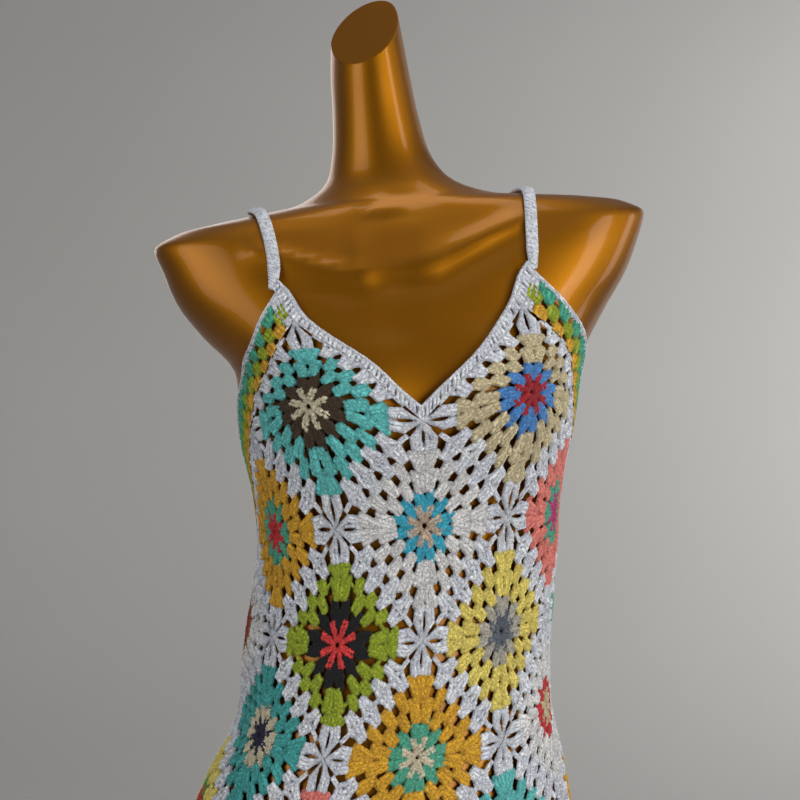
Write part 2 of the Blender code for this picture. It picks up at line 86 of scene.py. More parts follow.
DRESS_SECTIONS = (
    (-0.720, -0.020, 0.1630, 0.110, 0.117, 2.15, 0.0),
    (-0.560, -0.020, 0.1625, 0.108, 0.117, 2.15, 0.0),
    (-0.450, -0.020, 0.1615, 0.106, 0.117, 2.20, 0.3),
    (-0.380, -0.019, 0.1600, 0.105, 0.119, 2.20, 1.0),  # full hip
    (-0.330, -0.017, 0.1520, 0.102, 0.116, 2.20, 2.0),
    (-0.285, -0.012, 0.1385, 0.097, 0.107, 2.20, 2.6),
    (-0.240, -0.006, 0.1235, 0.091, 0.095, 2.20, 3.0),
    (-0.195, -0.004, 0.1216, 0.086, 0.085, 2.20, 3.2),
    (-0.160, 0.000, 0.1204, 0.085, 0.080, 2.20, 3.4),
    (-0.105, 0.005, 0.1188, 0.090, 0.079, 2.25, 3.7),  # waist
    (-0.065, 0.005, 0.1225, 0.100, 0.083, 2.25, 3.7),
    (-0.030, 0.004, 0.1305, 0.109, 0.088, 2.30, 3.7),
    (0.006, 0.003, 0.1372, 0.111, 0.093, 2.35, 3.7),  # bust
    (0.031, 0.006, 0.1435, 0.106, 0.095, 2.40, 3.7),
    (0.061, 0.002, 0.1645, 0.096, 0.093, 2.50, 4.2),
    (0.091, 0.001, 0.1845, 0.0865, 0.088, 2.60, 4.7),
    (0.116, 0.001, 0.1945, 0.077, 0.081, 2.70, 5.0),
)

FORM_SECTIONS = (
    (-0.480, -0.020, 0.1380, 0.084, 0.094, 2.20, 0.0),  # flat underside
    (-0.440, -0.020, 0.1470, 0.092, 0.106, 2.20, 0.3),
    (-0.380, -0.019, 0.1515, 0.097, 0.111, 2.20, 1.0),  # full hip
    (-0.330, -0.017, 0.1460, 0.096, 0.109, 2.20, 2.0),
    (-0.285, -0.012, 0.1335, 0.092, 0.101, 2.20, 2.6),
    (-0.240, -0.006, 0.1190, 0.086, 0.090, 2.20, 3.0),
    (-0.195, -0.004, 0.1160, 0.081, 0.080, 2.20, 3.2),
    (-0.160, 0.000, 0.1157, 0.080, 0.075, 2.20, 3.4),
    (-0.105, 0.005, 0.1143, 0.084, 0.074, 2.25, 3.7),  # waist
    (-0.065, 0.005, 0.1180, 0.092, 0.078, 2.25, 3.7),
    (-0.030, 0.004, 0.1260, 0.099, 0.083, 2.30, 3.7),
    (0.006, 0.003, 0.1325, 0.101, 0.088, 2.35, 3.7),  # bust
    (0.031, 0.006, 0.1390, 0.098, 0.090, 2.40, 3.7),
    (0.061, 0.002, 0.1600, 0.090, 0.088, 2.50, 4.2),
    (0.091, 0.001, 0.1800, 0.081, 0.083, 2.60, 4.7),
    (0.116, 0.001, 0.1900, 0.072, 0.076, 2.70, 5.0),
    (0.134, 0.000, 0.1960, 0.064, 0.069, 2.70, 5.0),  # shoulder tips
    (0.143, 0.000, 0.1830, 0.060, 0.065, 2.60, 5.0),
    (0.1495, 0.000, 0.1550, 0.057, 0.061, 2.50, 5.0),
    (0.1545, -0.002, 0.1150, 0.054, 0.057, 2.40, 4.8),
    (0.1615, -0.006, 0.0740, 0.050, 0.051, 2.20, 4.2),
    (0.177, -0.0115, 0.0480, 0.044, 0.042, 2.10, 2.5),  # root of the neck
    (0.192, -0.0156, 0.0404, 0.041, 0.037, 2.00, 1.0),
    (0.224, -0.0208, 0.0344, 0.039, 0.033, 2.00, 0.0),
    (0.256, -0.0252, 0.0316, 0.040, 0.029, 2.00, 0.0),
    (0.296, -0.0290, 0.0275, 0.041, 0.026, 2.00, 0.0),
    (0.346, -0.0350, 0.0215, 0.042, 0.022, 2.00, 0.0),  # above the slanted cut
)

CUP_X = 0.078
CUP_HEIGHT = -0.002
CUP_REACH_X = 0.050
CUP_REACH_Z = 0.046
CUP_OUT_FORM = 0.013
CUP_OUT_DRESS = 0.0095
CUP_FADE = 0.8  # how a cup runs out towards the side
NECK_CUT_POINT = (-0.029, -0.006, 0.2940)
NECK_CUT_NORMAL = (-0.64, -0.87, 1.0)

LEVEL_COLUMNS = ("v", "height", "bow", "twist", "spread")
LEVELS = (
    (-1.50, 0.110, 0.000, -0.070, 0.00),
    (-1.27, 0.0925, 0.000, -0.062, 0.00),  # strap tips
    (-1.00, 0.0655, 0.000, -0.045, 0.07),
    (0.00, -0.0075, 0.000, -0.010, 0.00),
    (1.00, -0.094, 0.000, 0.005, 0.00),
    (2.00, -0.182, 0.012, 0.060, 0.00),
    (3.00, -0.267, 0.030, 0.065, 0.00),
    (4.00, -0.350, 0.040, 0.060, 0.00),
    (5.00, -0.430, 0.036, 0.030, 0.00),
    (6.00, -0.509, 0.028, 0.000, 0.00),
    (7.00, -0.587, 0.020, 0.000, 0.00),
    (8.20, -0.680, 0.012, 0.000, 0.00),
)
ARC_HEIGHT = 0.020
NECK_DIP = 0.008  # how far the squares hang down round the V's foot
DIP_REACH = 0.6
FRONT_CROWD = 0.060  # how far squares crowd towards the sides, in front and behind
BUST_CROWD = 0.035
CROWD_REACH = 0.8
BACK_CROWD = 0.030
FOLD_TOP = 4.0  # where the skirt's soft folds start
FOLD_OUT = 0.0055

# ---- colours, sRGB 0 to 255
YARN = {
    "white": (219, 222, 242),
    "ecru": (220, 218, 216),
    "cream": (214, 202, 172),
    "taupe": (196, 174, 152),
    "beige": (203, 188, 150),
    "grey_beige": (178, 172, 158),
    "grey": (96, 102, 112),
    "aqua": (98, 190, 186),
    "turquoise": (62, 172, 198),
    "teal": (70, 165, 160),
    "stripe_teal": (72, 165, 135),
    "mint": (84, 170, 140),
    "green": (92, 150, 70),
    "lime": (150, 166, 42),
    "yellow": (226, 205, 104),
    "gold": (214, 160, 44),
    "ochre": (146, 106, 50),
    "coral": (236, 128, 116),
    "coral_red": (222, 64, 64),
    "red": (205, 46, 50),
    "deep_red": (164, 30, 42),
    "magenta": (190, 54, 116),
    "blue": (78, 136, 202),
    "navy": (38, 38, 62),
    "brown": (68, 52, 34),
    "black": (24, 24, 26),
}
FORM_GOLD = (158, 100, 13)

PLACES = {  # where a square is on the body, by its u
    0: "front", 0.5: "front_right", 1: "right_front", 1.5: "right", 2: "right_back",
    2.5: "back_right", 3: "back", -2.5: "back_left", -2: "left_back", -1.5: "left",
    -1: "left_front", -0.5: "front_left",
}

# Squares: u, v, the colours of the centre, of the petals and of the two rounds round them, and
# where it isn't the usual one, the petals' reach.
SQUARES = (
    (0.5, 0, "deep_red", "blue", "beige", 0.50),
    (2.5, 0, "cream", "coral", "gold", 0.47),
    (-2.5, 0, "navy", "ecru", "mint", 0.45),
    (-0.5, 0, "cream", "brown", "aqua", 0.50),
    (0, 1, "taupe", "turquoise", "ecru"),
    (1, 1, "magenta", "mint", "coral"),
    (2, 1, "cream", "red", "aqua", 0.48),
    (3, 1, "yellow", "navy", "lime", 0.52),
    (-2, 1, "ecru", "gold", "blue"),
    (-1, 1, "red", "mint", "gold"),
    (0.5, 2, "grey", "grey_beige", "yellow", 0.47),
    (1.5, 2, "magenta", "yellow", "mint"),
    (2.5, 2, "cream", "turquoise", "red"),
    (-2.5, 2, "brown", "aqua", "beige", 0.50),
    (-1.5, 2, "deep_red", "ochre", "ecru"),
    (-0.5, 2, "coral_red", "black", "lime", 0.54),
    (0, 3, "cream", "mint", "gold", 0.45),
    (1, 3, "beige", "red", "ecru"),
    (2, 3, "navy", "yellow", "coral"),
    (3, 3, "red", "ecru", "aqua", 0.48),
    (-2, 3, "mint", "brown", "yellow", 0.52),
    (-1, 3, "navy", "cream", "teal", 0.45),
    (0.5, 4, "yellow", "deep_red", "aqua"),
    (1.5, 4, "cream", "black", "gold", 0.52),
    (2.5, 4, "yellow", "magenta", "blue"),
    (-2.5, 4, "coral", "ecru", "mint"),
    (-1.5, 4, "red", "green", "yellow"),
    (-0.5, 4, "ecru", "turquoise", "coral"),
    (0, 5, "red", "brown", "beige", 0.50),
    (1, 5, "cream", "coral", "blue"),
    (2, 5, "turquoise", "ecru", "yellow"),
    (3, 5, "gold", "black", "red", 0.52),
    (-2, 5, "coral", "taupe", "lime"),
    (-1, 5, "magenta", "yellow", "mint"),
    (0.5, 6, "ecru", "navy", "lime", 0.50),
    (1.5, 6, "turquoise", "cream", "coral"),
    (2.5, 6, "yellow", "red", "teal"),
    (-2.5, 6, "deep_red", "blue", "gold", 0.48),
    (-1.5, 6, "brown", "coral", "aqua"),
    (-0.5, 6, "gold", "aqua", "red"),
    (0, 7, "coral", "cream", "aqua"),
    (1, 7, "blue", "mint", "yellow"),
    (2, 7, "cream", "magenta", "mint"),
    (3, 7, "yellow", "turquoise", "coral"),
    (-2, 7, "ecru", "deep_red", "gold", 0.48),
    (-1, 7, "lime", "black", "beige", 0.52),
)


# ---- the body's surfaces
def table(rows, columns):
    """A short table as a dictionary of arrays, one for each named column."""
    return dict(zip(columns, np.array(rows, float).T))


def smooth(xs, ys, x):
    """Cubic curve through the table's points, without overshoot."""
    steps = np.diff(ys) / np.diff(xs)
    wide = np.diff(xs)
    inner = (wide[1:] * steps[:-1] + wide[:-1] * steps[1:]) / (wide[1:] + wide[:-1])
    limit = 3 * np.minimum(np.abs(steps[:-1]), np.abs(steps[1:]))
    inner = np.where(steps[:-1] * steps[1:] <= 0, 0, np.clip(inner, -limit, limit))
    slope = np.concatenate([steps[:1], inner, steps[-1:]])
    x = np.clip(x, xs[0], xs[-1])
    i = np.clip(np.searchsorted(xs, x, side="right") - 1, 0, len(xs) - 2)
    t = (x - xs[i]) / wide[i]
    rise = t * t * (3 - 2 * t)
    enter = t * (1 - t) ** 2 * wide[i] * slope[i]
    leave = t * t * (1 - t) * wide[i] * slope[i + 1]
    return ys[i] * (1 - rise) + ys[i + 1] * rise + enter - leave


def section_point(section, angle, cup_out):
    """Point of a section at an angle, 0 at the centre front and growing towards +X."""
    power = 2 / section["square"]
    side = np.sin(angle)
    ahead = np.cos(angle)
    x = section["half"] * np.sign(side) * np.abs(side) ** power
    depth = np.where(ahead > 0, section["front"], section["back"])
    y = -depth * np.sign(ahead) * np.abs(ahead) ** power
    near = np.exp(-((section["height"] - CUP_HEIGHT) / CUP_REACH_Z) ** 2)
    cups = sum(np.exp(-((x - sign * CUP_X) / CUP_REACH_X) ** 2) for sign in (-1, 1))
    y = y - np.where(ahead > 0, cup_out * near * cups * np.abs(ahead) ** CUP_FADE, 0)
    x = x + section["centre"]
    z = section["height"] + np.tan(np.radians(section["tilt"])) * x
    return x + BUST_SHIFT, y, z + BUST_HEIGHT


def dress_section(height):
    """The dress's section at a height."""
    rows = table(DRESS_SECTIONS, SECTION_COLUMNS)
    section = {name: smooth(rows["height"], rows[name], height) for name in SECTION_COLUMNS[1:]}
    section["height"] = height
    return section


WALK_STEPS = 72  # of a quarter section


def walk_section(height, is_front):
    """Points of a quarter section from its centre line to its side, and the lengths up to them."""
    quarter = np.linspace(0, math.pi / 2, WALK_STEPS + 1)[None, :]
    angle = np.where(is_front[:, None], quarter, math.pi - quarter)
    section = dress_section(height[:, None] + 0 * angle)
    x, y, _ = section_point(section, angle, CUP_OUT_DRESS)
    lengths = np.cumsum(np.hypot(np.diff(x), np.diff(y)), axis=1)
    return x, y, np.concatenate([np.zeros((len(height), 1)), lengths], axis=1)


def chart_point(u, v):
    """Points of the dress surface for flat arrays of chart places."""
    level = table(LEVELS, LEVEL_COLUMNS)
    at_level = {name: smooth(level["v"], level[name], v) for name in LEVEL_COLUMNS[1:]}
    half_round = SQUARES_ROUND / 2
    turned = (u + at_level["twist"] + half_round) % SQUARES_ROUND - half_round
    is_front = np.abs(turned) <= half_round / 2
    share = np.where(is_front, np.abs(turned), half_round - np.abs(turned)) / (half_round / 2)

    height = at_level["height"] + at_level["bow"] * np.abs(np.sin(turned * math.pi / half_round)) ** 3
    near_bust = np.exp(-(v / DIP_REACH) ** 2)
    height = height - np.where(is_front, NECK_DIP * np.cos(2 * math.pi * turned) * near_bust, 0)

    crowd = np.where(is_front, FRONT_CROWD + BUST_CROWD * np.exp(-(v / CROWD_REACH) ** 2), BACK_CROWD)
    share = share + crowd * np.sin(math.pi * share)
    share = share * np.where(is_front, 1 + at_level["spread"], 1)

    x, y, lengths = walk_section(height, is_front)
    at_bust = walk_section(np.minimum(height, ARC_HEIGHT), is_front)[2][:, -1]
    target = share * at_bust
    i = np.clip((lengths < target[:, None]).sum(axis=1) - 1, 0, lengths.shape[1] - 2)
    row = np.arange(len(i))
    part = (target - lengths[row, i]) / (lengths[row, i + 1] - lengths[row, i])
    x_at = x[row, i] + part * (x[row, i + 1] - x[row, i])
    y_at = y[row, i] + part * (y[row, i + 1] - y[row, i])

    section = dress_section(height)
    middle = section["centre"] + BUST_SHIFT
    fall = np.clip((v - FOLD_TOP) / (LAST_ROW + 1 - FOLD_TOP), 0, 1)
    swing = 1 + FOLD_OUT * fall ** 2 * np.cos(2 * math.pi * u) / np.hypot(x_at - middle, y_at)
    x_at = middle + (x_at - middle) * swing
    y_at = y_at * swing
    x_at = np.where(turned >= 0, x_at, 2 * middle - x_at)
    z_at = height + np.tan(np.radians(section["tilt"])) * (x_at - BUST_SHIFT) + BUST_HEIGHT
    return np.stack([x_at, y_at, z_at], axis=-1)


def unit(vectors):
    """Vectors at length 1."""
    return vectors / np.linalg.norm(vectors, axis=-1, keepdims=True)


CHART_STEPS = 24  # chart grid lines for one unit of u or v
CHART_TOP = -1.5
CHART_FOOT = 8.125


def chart_grid():
    """Points and outward normals of the dress surface on a fine grid of the chart."""
    around = SQUARES_ROUND * CHART_STEPS
    down = round((CHART_FOOT - CHART_TOP) * CHART_STEPS)
    u = np.arange(around) / CHART_STEPS
    v = CHART_TOP + np.arange(down + 1) / CHART_STEPS
    u_all, v_all = (a.ravel() for a in np.meshgrid(u, v, indexing="ij"))
    points = chart_point(u_all, v_all).reshape(around, down + 1, 3)
    across = np.roll(points, -1, axis=0) - np.roll(points, 1, axis=0)
    downward = np.gradient(points, axis=1)
    return points, unit(np.cross(downward, across))


GRID_POINTS, GRID_NORMALS = chart_grid()


def lay(places):
    """Points and normals of the dress surface for any array of chart places (..., 2)."""
    u = (places[..., 0] % SQUARES_ROUND) * CHART_STEPS
    v = (places[..., 1] - CHART_TOP) * CHART_STEPS
    v = np.clip(v, 0, GRID_POINTS.shape[1] - 1.001)
    i, j = np.floor(u).astype(int), np.floor(v).astype(int)
    a, b = (u - i)[..., None], (v - j)[..., None]
    around = GRID_POINTS.shape[0]
    i, k = i % around, (i + 1) % around
    mixed = [(1 - a) * (1 - b) * grid[i, j] + a * (1 - b) * grid[k, j]
             + (1 - a) * b * grid[i, j + 1] + a * b * grid[k, j + 1]
             for grid in (GRID_POINTS, GRID_NORMALS)]
    return mixed[0], unit(mixed[1])


# ---- materials
def linear(colour):
    """Linear colour from an sRGB one."""
    c = np.array(colour) / 255
    return (*np.where(c <= 0.04045, c / 12.92, ((c + 0.055) / 1.055) ** 2.4), 1.0)


class Finish:
    """A node material around one Principled shader."""

    def __init__(self, name, **constants):
        self.material = bpy.data.materials.new(name)
        self.material.use_nodes = True
        self.tree = self.material.node_tree
        self.shader = self.tree.nodes["Principled BSDF"]
        for socket, value in constants.items():
            self.shader.inputs[socket.replace("_", " ")].default_value = value

    def add(self, kind, settings=None, **inputs):
        """A node; inputs are numbers, colours or other nodes' output sockets."""
        made = self.tree.nodes.new("ShaderNode" + kind)
        for key, value in (settings or {}).items():
            setattr(made, key, value)
        for key, value in inputs.items():
            socket = made.inputs[int(key[1:])] if key[0] == "i" and key[1:].isdigit() \
                else made.inputs[key.replace("_", " ")]
            if isinstance(value, bpy.types.NodeSocket):
                self.tree.links.new(value, socket)
            else:
                socket.default_value = value
        return made

    def math(self, operation, a, b=0.0):
        """Result of a sum on numbers or sockets."""
        return self.add("Math", {"operation": operation}, i0=a, i1=b).outputs[0]

    def weigh(self, *terms):
        """Sum of pairs of a socket and its weight."""
        total = 0.0
        for value, weight in terms:
            total = self.math("ADD", total, self.math("MULTIPLY", value, weight))
        return total

    def noise(self, scale, detail=2.0, rough=0.5, vector=None):
        """Noise in the object's own coordinates, in metres."""
        if vector is None:
            vector = self.add("TexCoord").outputs["Object"]
        made = self.add("TexNoise", Vector=vector, Scale=scale, Detail=detail, Roughness=rough)
        return made.outputs["Fac"]

    def spread(self, value, low, high, out_low=0.0, out_high=1.0):
        """A value's range, spread to another one."""
        made = self.add("MapRange", {"clamp": True}, Value=value, From_Min=low, From_Max=high,
                        To_Min=out_low, To_Max=out_high)
        return made.outputs["Result"]

    def blend(self, share, first, second):
        """Colour between two."""
        made = self.add("Mix", {"data_type": "RGBA"}, i0=share, i6=first, i7=second)
        return made.outputs[2]

    def bump(self, height, strength, distance):
        """Normals from a height."""
        made = self.add("Bump", Strength=strength, Distance=distance, Height=height)
        return made.outputs["Normal"]

    def grained(self, grain, colours, roughness, relief):
        """Colour, roughness and height that change with a noise."""
        return self.wear(Base_Color=self.blend(grain, *(linear(colour) for colour in colours)),
                         Roughness=self.spread(grain, *MIDDLE_NOISE, *roughness),
                         Normal=self.bump(grain, *relief))

    def wear(self, **sockets):
        """Links sockets to the shader."""
        for key, value in sockets.items():
            self.tree.links.new(value, self.shader.inputs[key.replace("_", " ")])
        return self.material


def shade(colour, factor):
    """A colour made darker or lighter."""
    return (*(min(1.0, c * factor) for c in colour[:3]), 1.0)


DYE = 1.22  # strength of the yarns' colours
PAINTED_SHADE_DEEPEST = 0.28  # painted shade: colour in the deepest pits, as a share of the yarn's own
YARN_NOISE = {  # scale, for one metre or for one loop of a stitch, and detail, roughness
    "strand": (2.3, 1.0, 0.5), "wander": (300.0, 1.0, 0.5), "pit": (640.0, 1.0, 0.5),
    "fuzz": (1500.0, 2.0, 0.7), "dye": (28.0, 2.0, 0.5),
}
MIDDLE_NOISE = (0.3, 0.7)  # range of most of a noise's values
WANDER = (-0.5, 0.5)
STRAND_STRETCH = 0.55  # strands across a stitch, for one along it
STRAND_LEAN = 0.8
STRAND_APART = 60.0  # puts each stitch at a place of its own in the noise
STRAND_RANGE = (0.32, 0.54)  # noise that goes from a groove to a strand's top; the grooves take painted shade
PIT_RANGE = (0.30, 0.42)
CREASE_RANGE = (0.6, 1.0)  # where painted shade darkens a stitch towards its side
PAINTED_SHADE = {"strand": 0.42, "pit": 0.42, "crease": 0.75}  # painted shade: share of light that is left there
LIGHT_SHARES = (0.6, 0.4)  # of the stitch's own tint and of the dye's clouds
LIGHT_RANGE = (0.2, 0.8)
LIGHT_SHADES = (0.86, 1.10)
RELIEF_SHARES = (0.8, 0.8, 0.4)  # of strands, pits and fuzz
YARN_BUMP = (0.8, 0.0008)  # strength and height


def yarn_finish(name, colour):
    """Soft cotton yarn: leaning strands along each stitch, pits between them, fine fibres; painted
    shade darkens the pits, the grooves between strands and each stitch's sides.
    """
    made = Finish("yarn_" + name, Roughness=0.85, Sheen_Weight=0.08, Sheen_Roughness=0.5,
                  Specular_IOR_Level=0.25)
    base = shade(linear(colour), DYE)
    uv = made.add("UVMap", {"uv_map": "yarn"}).outputs["UV"]
    along, across = made.add("SeparateXYZ", Vector=uv).outputs[:2]
    tint = made.add("Attribute", {"attribute_name": "tint"}).outputs["Fac"]
    from_middle = made.math("ABSOLUTE", across)
    wander = made.spread(made.noise(*YARN_NOISE["wander"]), *MIDDLE_NOISE, *WANDER)
    leaning = made.weigh((along, 1.0), (wander, 1.0), (from_middle, STRAND_LEAN))
    place = made.add("CombineXYZ", X=leaning, Y=made.math("MULTIPLY", across, STRAND_STRETCH),
                     Z=made.math("MULTIPLY", tint, STRAND_APART)).outputs[0]
    strand = made.spread(made.noise(*YARN_NOISE["strand"], vector=place), *STRAND_RANGE)
    pit = made.spread(made.noise(*YARN_NOISE["pit"]), *PIT_RANGE)
    crease = made.spread(from_middle, *CREASE_RANGE, 1.0, 0.0)
    fuzz = made.noise(*YARN_NOISE["fuzz"])
    dye = made.noise(*YARN_NOISE["dye"])
    light = made.weigh(*zip((tint, dye), LIGHT_SHARES))
    body = made.blend(made.spread(light, *LIGHT_RANGE), *(shade(base, f) for f in LIGHT_SHADES))
    # painted shade: the colour darkens in creases, pits and grooves, down to the deepest shade
    open_to_light = 1.0
    for kind, value in (("crease", crease), ("pit", pit), ("strand", strand)):
        left = made.spread(value, 0.0, 1.0, PAINTED_SHADE[kind], 1.0)
        open_to_light = made.math("MULTIPLY", open_to_light, left)
    skin = made.blend(open_to_light, shade(base, PAINTED_SHADE_DEEPEST), body)
    raised = made.weigh(*zip((strand, pit, fuzz), RELIEF_SHARES))
    return made.wear(Base_Color=skin, Normal=made.bump(raised, *YARN_BUMP))


YARNS = {name: yarn_finish(name, colour) for name, colour in YARN.items()}


def add_piece(name, mesh, finishes, replaced):
    """Piece that rides on the body and takes the place of its plain solid."""
    for finish in finishes:
        mesh.materials.append(finish)
    made = bpy.data.objects.new(name, mesh)
    bpy.context.collection.objects.link(made)
    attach(made, "root")
    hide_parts(replaced)
    return made


def ring_faces(rings, sides):
    """Quads between each ring of points and the next."""
    faces = []
    for low in range(0, (rings - 1) * sides, sides):
        high = low + sides
        faces += [(low + j, low + (j + 1) % sides, high + (j + 1) % sides, high + j)
                  for j in range(sides)]
    return faces


def end_faces(rings, sides):
    """Caps of the first and the last ring."""
    last = (rings - 1) * sides
    return [tuple(reversed(range(sides))), tuple(range(last, last + sides))]


def yarn_piece(node, points, quads, uv, colours, tints):
    """Piece of yarn: colours is a name for each quad, tints a value from 0 to 1 for each point."""
    used = list(dict.fromkeys(colours.tolist()))
    mesh = bpy.data.meshes.new("crochet_" + node)
    mesh.vertices.add(len(points))
    mesh.vertices.foreach_set("co", points.astype(np.float32).ravel())
    mesh.loops.add(quads.size)
    mesh.loops.foreach_set("vertex_index", quads.astype(np.int32).ravel())
    mesh.polygons.add(len(quads))
    mesh.polygons.foreach_set("loop_start", np.arange(0, quads.size, 4, dtype=np.int32))
    mesh.polygons.foreach_set("material_index", [used.index(name) for name in colours])
    mesh.update(calc_edges=True)
    mesh.shade_smooth()
    mesh.uv_layers.new(name="yarn").uv.foreach_set("vector", uv.astype(np.float32).ravel())
    mesh.attributes.new("tint", "FLOAT", "POINT").data.foreach_set("value", tints.astype(np.float32))
    return add_piece("crochet_" + node, mesh, [YARNS[name] for name in used], node)


# ---- worked sheets
STRAND_COLUMNS = ("x0", "y0", "x1", "y1", "wide0", "wide1", "lift0", "lift1", "run", "round")
POST_THICK = 0.0023  # how far the middle of a stitch stands out over its sides
RIM_DROP = 0.0009  # how far the sides lie under the dress surface
SNAP = 0.7  # most that a vertex moves to a hole's edge, in grid steps
RELIEF_UNEVEN = 0.00007
STRAND_NEAR = 0.08  # how far round a strand places are compared with it, in half sides
TILE = 0.2
LUMP_PITCH = 0.0038  # from one bulge of a stitch to the next
LUMP_WIDER = 0.07
LUMP_HIGHER = 0.0003
LUMP_PHASE = 2.4  # from one stitch's bulges to the next one's, in radians
LEAST_SLOPE = 0.5  # keeps a vertex near where its way to the edge isn't clear
JITTER = 0.006  # unevenness of the work, in half sides


class Strands:
    """Stitches of a sheet as straight parts on its own plane, in half sides."""

    def __init__(self):
        self.rows = []

    def run(self, places, wides, lifts, number):
        """One stitch through several places, with its half width and lift at each."""
        run = 0.0
        for i in range(len(places) - 1):
            (x0, y0), (x1, y1) = places[i], places[i + 1]
            self.rows.append((x0, y0, x1, y1, wides[i], wides[i + 1], lifts[i], lifts[i + 1],
                              run, number))
            run += math.hypot(x1 - x0, y1 - y0)

    def chain(self, places, wide, lift, number):
        """One stitch of the same half width and lift all along."""
        self.run(places, [wide] * len(places), [lift] * len(places), number)

    def cluster(self, places, gaps, wides, lifts, number, posts=3):
        """Stitches side by side through several places; gaps is from one to the next at each."""
        places = np.array(places, float)
        ahead = unit(np.gradient(places, axis=0))
        across = np.stack([-ahead[:, 1], ahead[:, 0]], axis=-1)
        for i in range(posts):
            off = i - (posts - 1) / 2
            moved = places + across * (off * np.array(gaps))[:, None]
            moved = moved + RANDOM.normal(0, JITTER, 2) + RANDOM.normal(0, JITTER / 3, moved.shape)
            self.run(moved, np.array(wides) * RANDOM.uniform(0.92, 1.10), lifts, number)

    def around(self):
        """The same parts turned by quarters, all round a square."""
        full = [np.array(self.rows)]
        for _ in range(3):
            turned = full[-1].copy()
            turned[:, :4] = full[-1][:, [1, 0, 3, 2]] * (1, -1, 1, -1)
            full.append(turned)
        return np.concatenate(full)


def beside(x, y, strands):
    """Strands' columns, and share along, signed distance, half width and run at each place."""
    part = dict(zip(STRAND_COLUMNS, strands.T[:, :, None]))
    dx, dy = part["x1"] - part["x0"], part["y1"] - part["y0"]
    along = np.clip(((x - part["x0"]) * dx + (y - part["y0"]) * dy) / (dx * dx + dy * dy), 0, 1)
    from_x, from_y = x - part["x0"] - along * dx, y - part["y0"] - along * dy
    away = np.hypot(from_x, from_y) * np.where(from_x * dy - from_y * dx < 0, -1, 1)
    wide = part["wide0"] + (part["wide1"] - part["wide0"]) * along
    return part, along, away, wide, (part["run"] + along * np.hypot(dx, dy)) * HALF_SIDE


def nearest_strand(places, strands):
    """For each place: distance inside the strands' outline, height, and the strand on top."""
    inside = np.full(len(places), -STRAND_NEAR)
    height, top = np.zeros(len(places)), np.zeros(len(places), int)
    low = np.minimum(strands[:, :2], strands[:, 2:4]) - STRAND_NEAR
    high = np.maximum(strands[:, :2], strands[:, 2:4]) + STRAND_NEAR
    tiles, tile_of = np.unique(np.floor(places / TILE).astype(int), axis=0, return_inverse=True)
    order = np.argsort(tile_of.ravel(), kind="stable")
    groups = np.split(order, np.flatnonzero(np.diff(tile_of.ravel()[order])) + 1)
    for tile, here in zip(tiles, groups):
        near = np.flatnonzero(((low < (tile + 1) * TILE) & (high > tile * TILE)).all(axis=1))
        if len(near) == 0:
            continue
        x, y = places[here].T[:, None]
        part, along, away, wide, run = beside(x, y, strands[near])
        lump = np.cos(2 * math.pi * run / LUMP_PITCH + near[:, None] * LUMP_PHASE)
        wide = wide * (1 + LUMP_WIDER * lump)
        gap = wide - np.abs(away)
        inside[here] = gap.max(axis=0)
        lift = part["lift0"] + (part["lift1"] - part["lift0"]) * along + LUMP_HIGHER * lump
        bulge = np.sqrt(np.clip(1 - (away / wide) ** 2, 0, 1))
        raised = np.where(gap > 0, POST_THICK * bulge + lift, -1)
        top[here] = near[raised.argmax(axis=0)]
        height[here] = np.maximum(raised.max(axis=0), 0)
    return inside, height, top


def worked_sheet(node, strands, colours, across, down, to_chart):
    """Piece that strands make: a relief over a grid of lines, open between them."""
    x, y = (grid.ravel() for grid in np.meshgrid(across, down, indexing="ij"))
    places = np.stack([x, y], axis=-1)
    shape = (len(across), len(down))
    inside = nearest_strand(places, strands)[0].reshape(shape)

    corner = np.arange(len(places)).reshape(shape)
    quads = np.stack([corner[:-1, :-1], corner[1:, :-1], corner[1:, 1:], corner[:-1, 1:]],
                     axis=-1).reshape(-1, 4)
    centre_inside, _, owner = nearest_strand(places[quads].mean(axis=1), strands)
    kept = centre_inside > 0
    rim = np.zeros(len(places), bool)
    rim[quads[~kept].ravel()] = True
    rim |= inside.ravel() < 0

    step = (across[1] - across[0], down[1] - down[0])
    slope = np.stack(np.gradient(inside, *step), axis=-1).reshape(-1, 2)
    steep = np.maximum((slope ** 2).sum(axis=1, keepdims=True), LEAST_SLOPE ** 2)
    move = np.clip(-inside.reshape(-1, 1) * slope / steep, -SNAP * min(step), SNAP * min(step))
    edge = (x == across[0]) | (x == across[-1]) | (y == down[0]) | (y == down[-1])
    places = places + np.where((rim & ~edge)[:, None], move, 0)

    quads, owner = quads[kept], owner[kept]
    used, quads = np.unique(quads, return_inverse=True)
    quads = quads.reshape(-1, 4)
    places = places[used]
    _, height, top = nearest_strand(places, strands)
    points, normals = lay(to_chart(places))
    height = height - RIM_DROP + RANDOM.normal(0, RELIEF_UNEVEN, len(height))
    points = points + normals * height[:, None]
    a, b, c = (points[quads[:, k]] for k in (0, 1, 2))
    facing = np.einsum("ij,ij->i", np.cross(b - a, c - b), normals[quads[:, 0]]).sum()
    if facing < 0:
        quads = quads[:, ::-1]

    corner = places[quads]
    _, _, away, wide, run = beside(corner[..., 0], corner[..., 1], strands[owner])
    uv = np.stack([run / LOOP_PITCH, np.clip(away / wide, -1, 1)], axis=-1).reshape(-1, 2)
    names = np.array(colours)[strands[owner, -1].astype(int)]
    return yarn_piece(node, points, quads, uv, names, RANDOM.random(len(strands))[top])


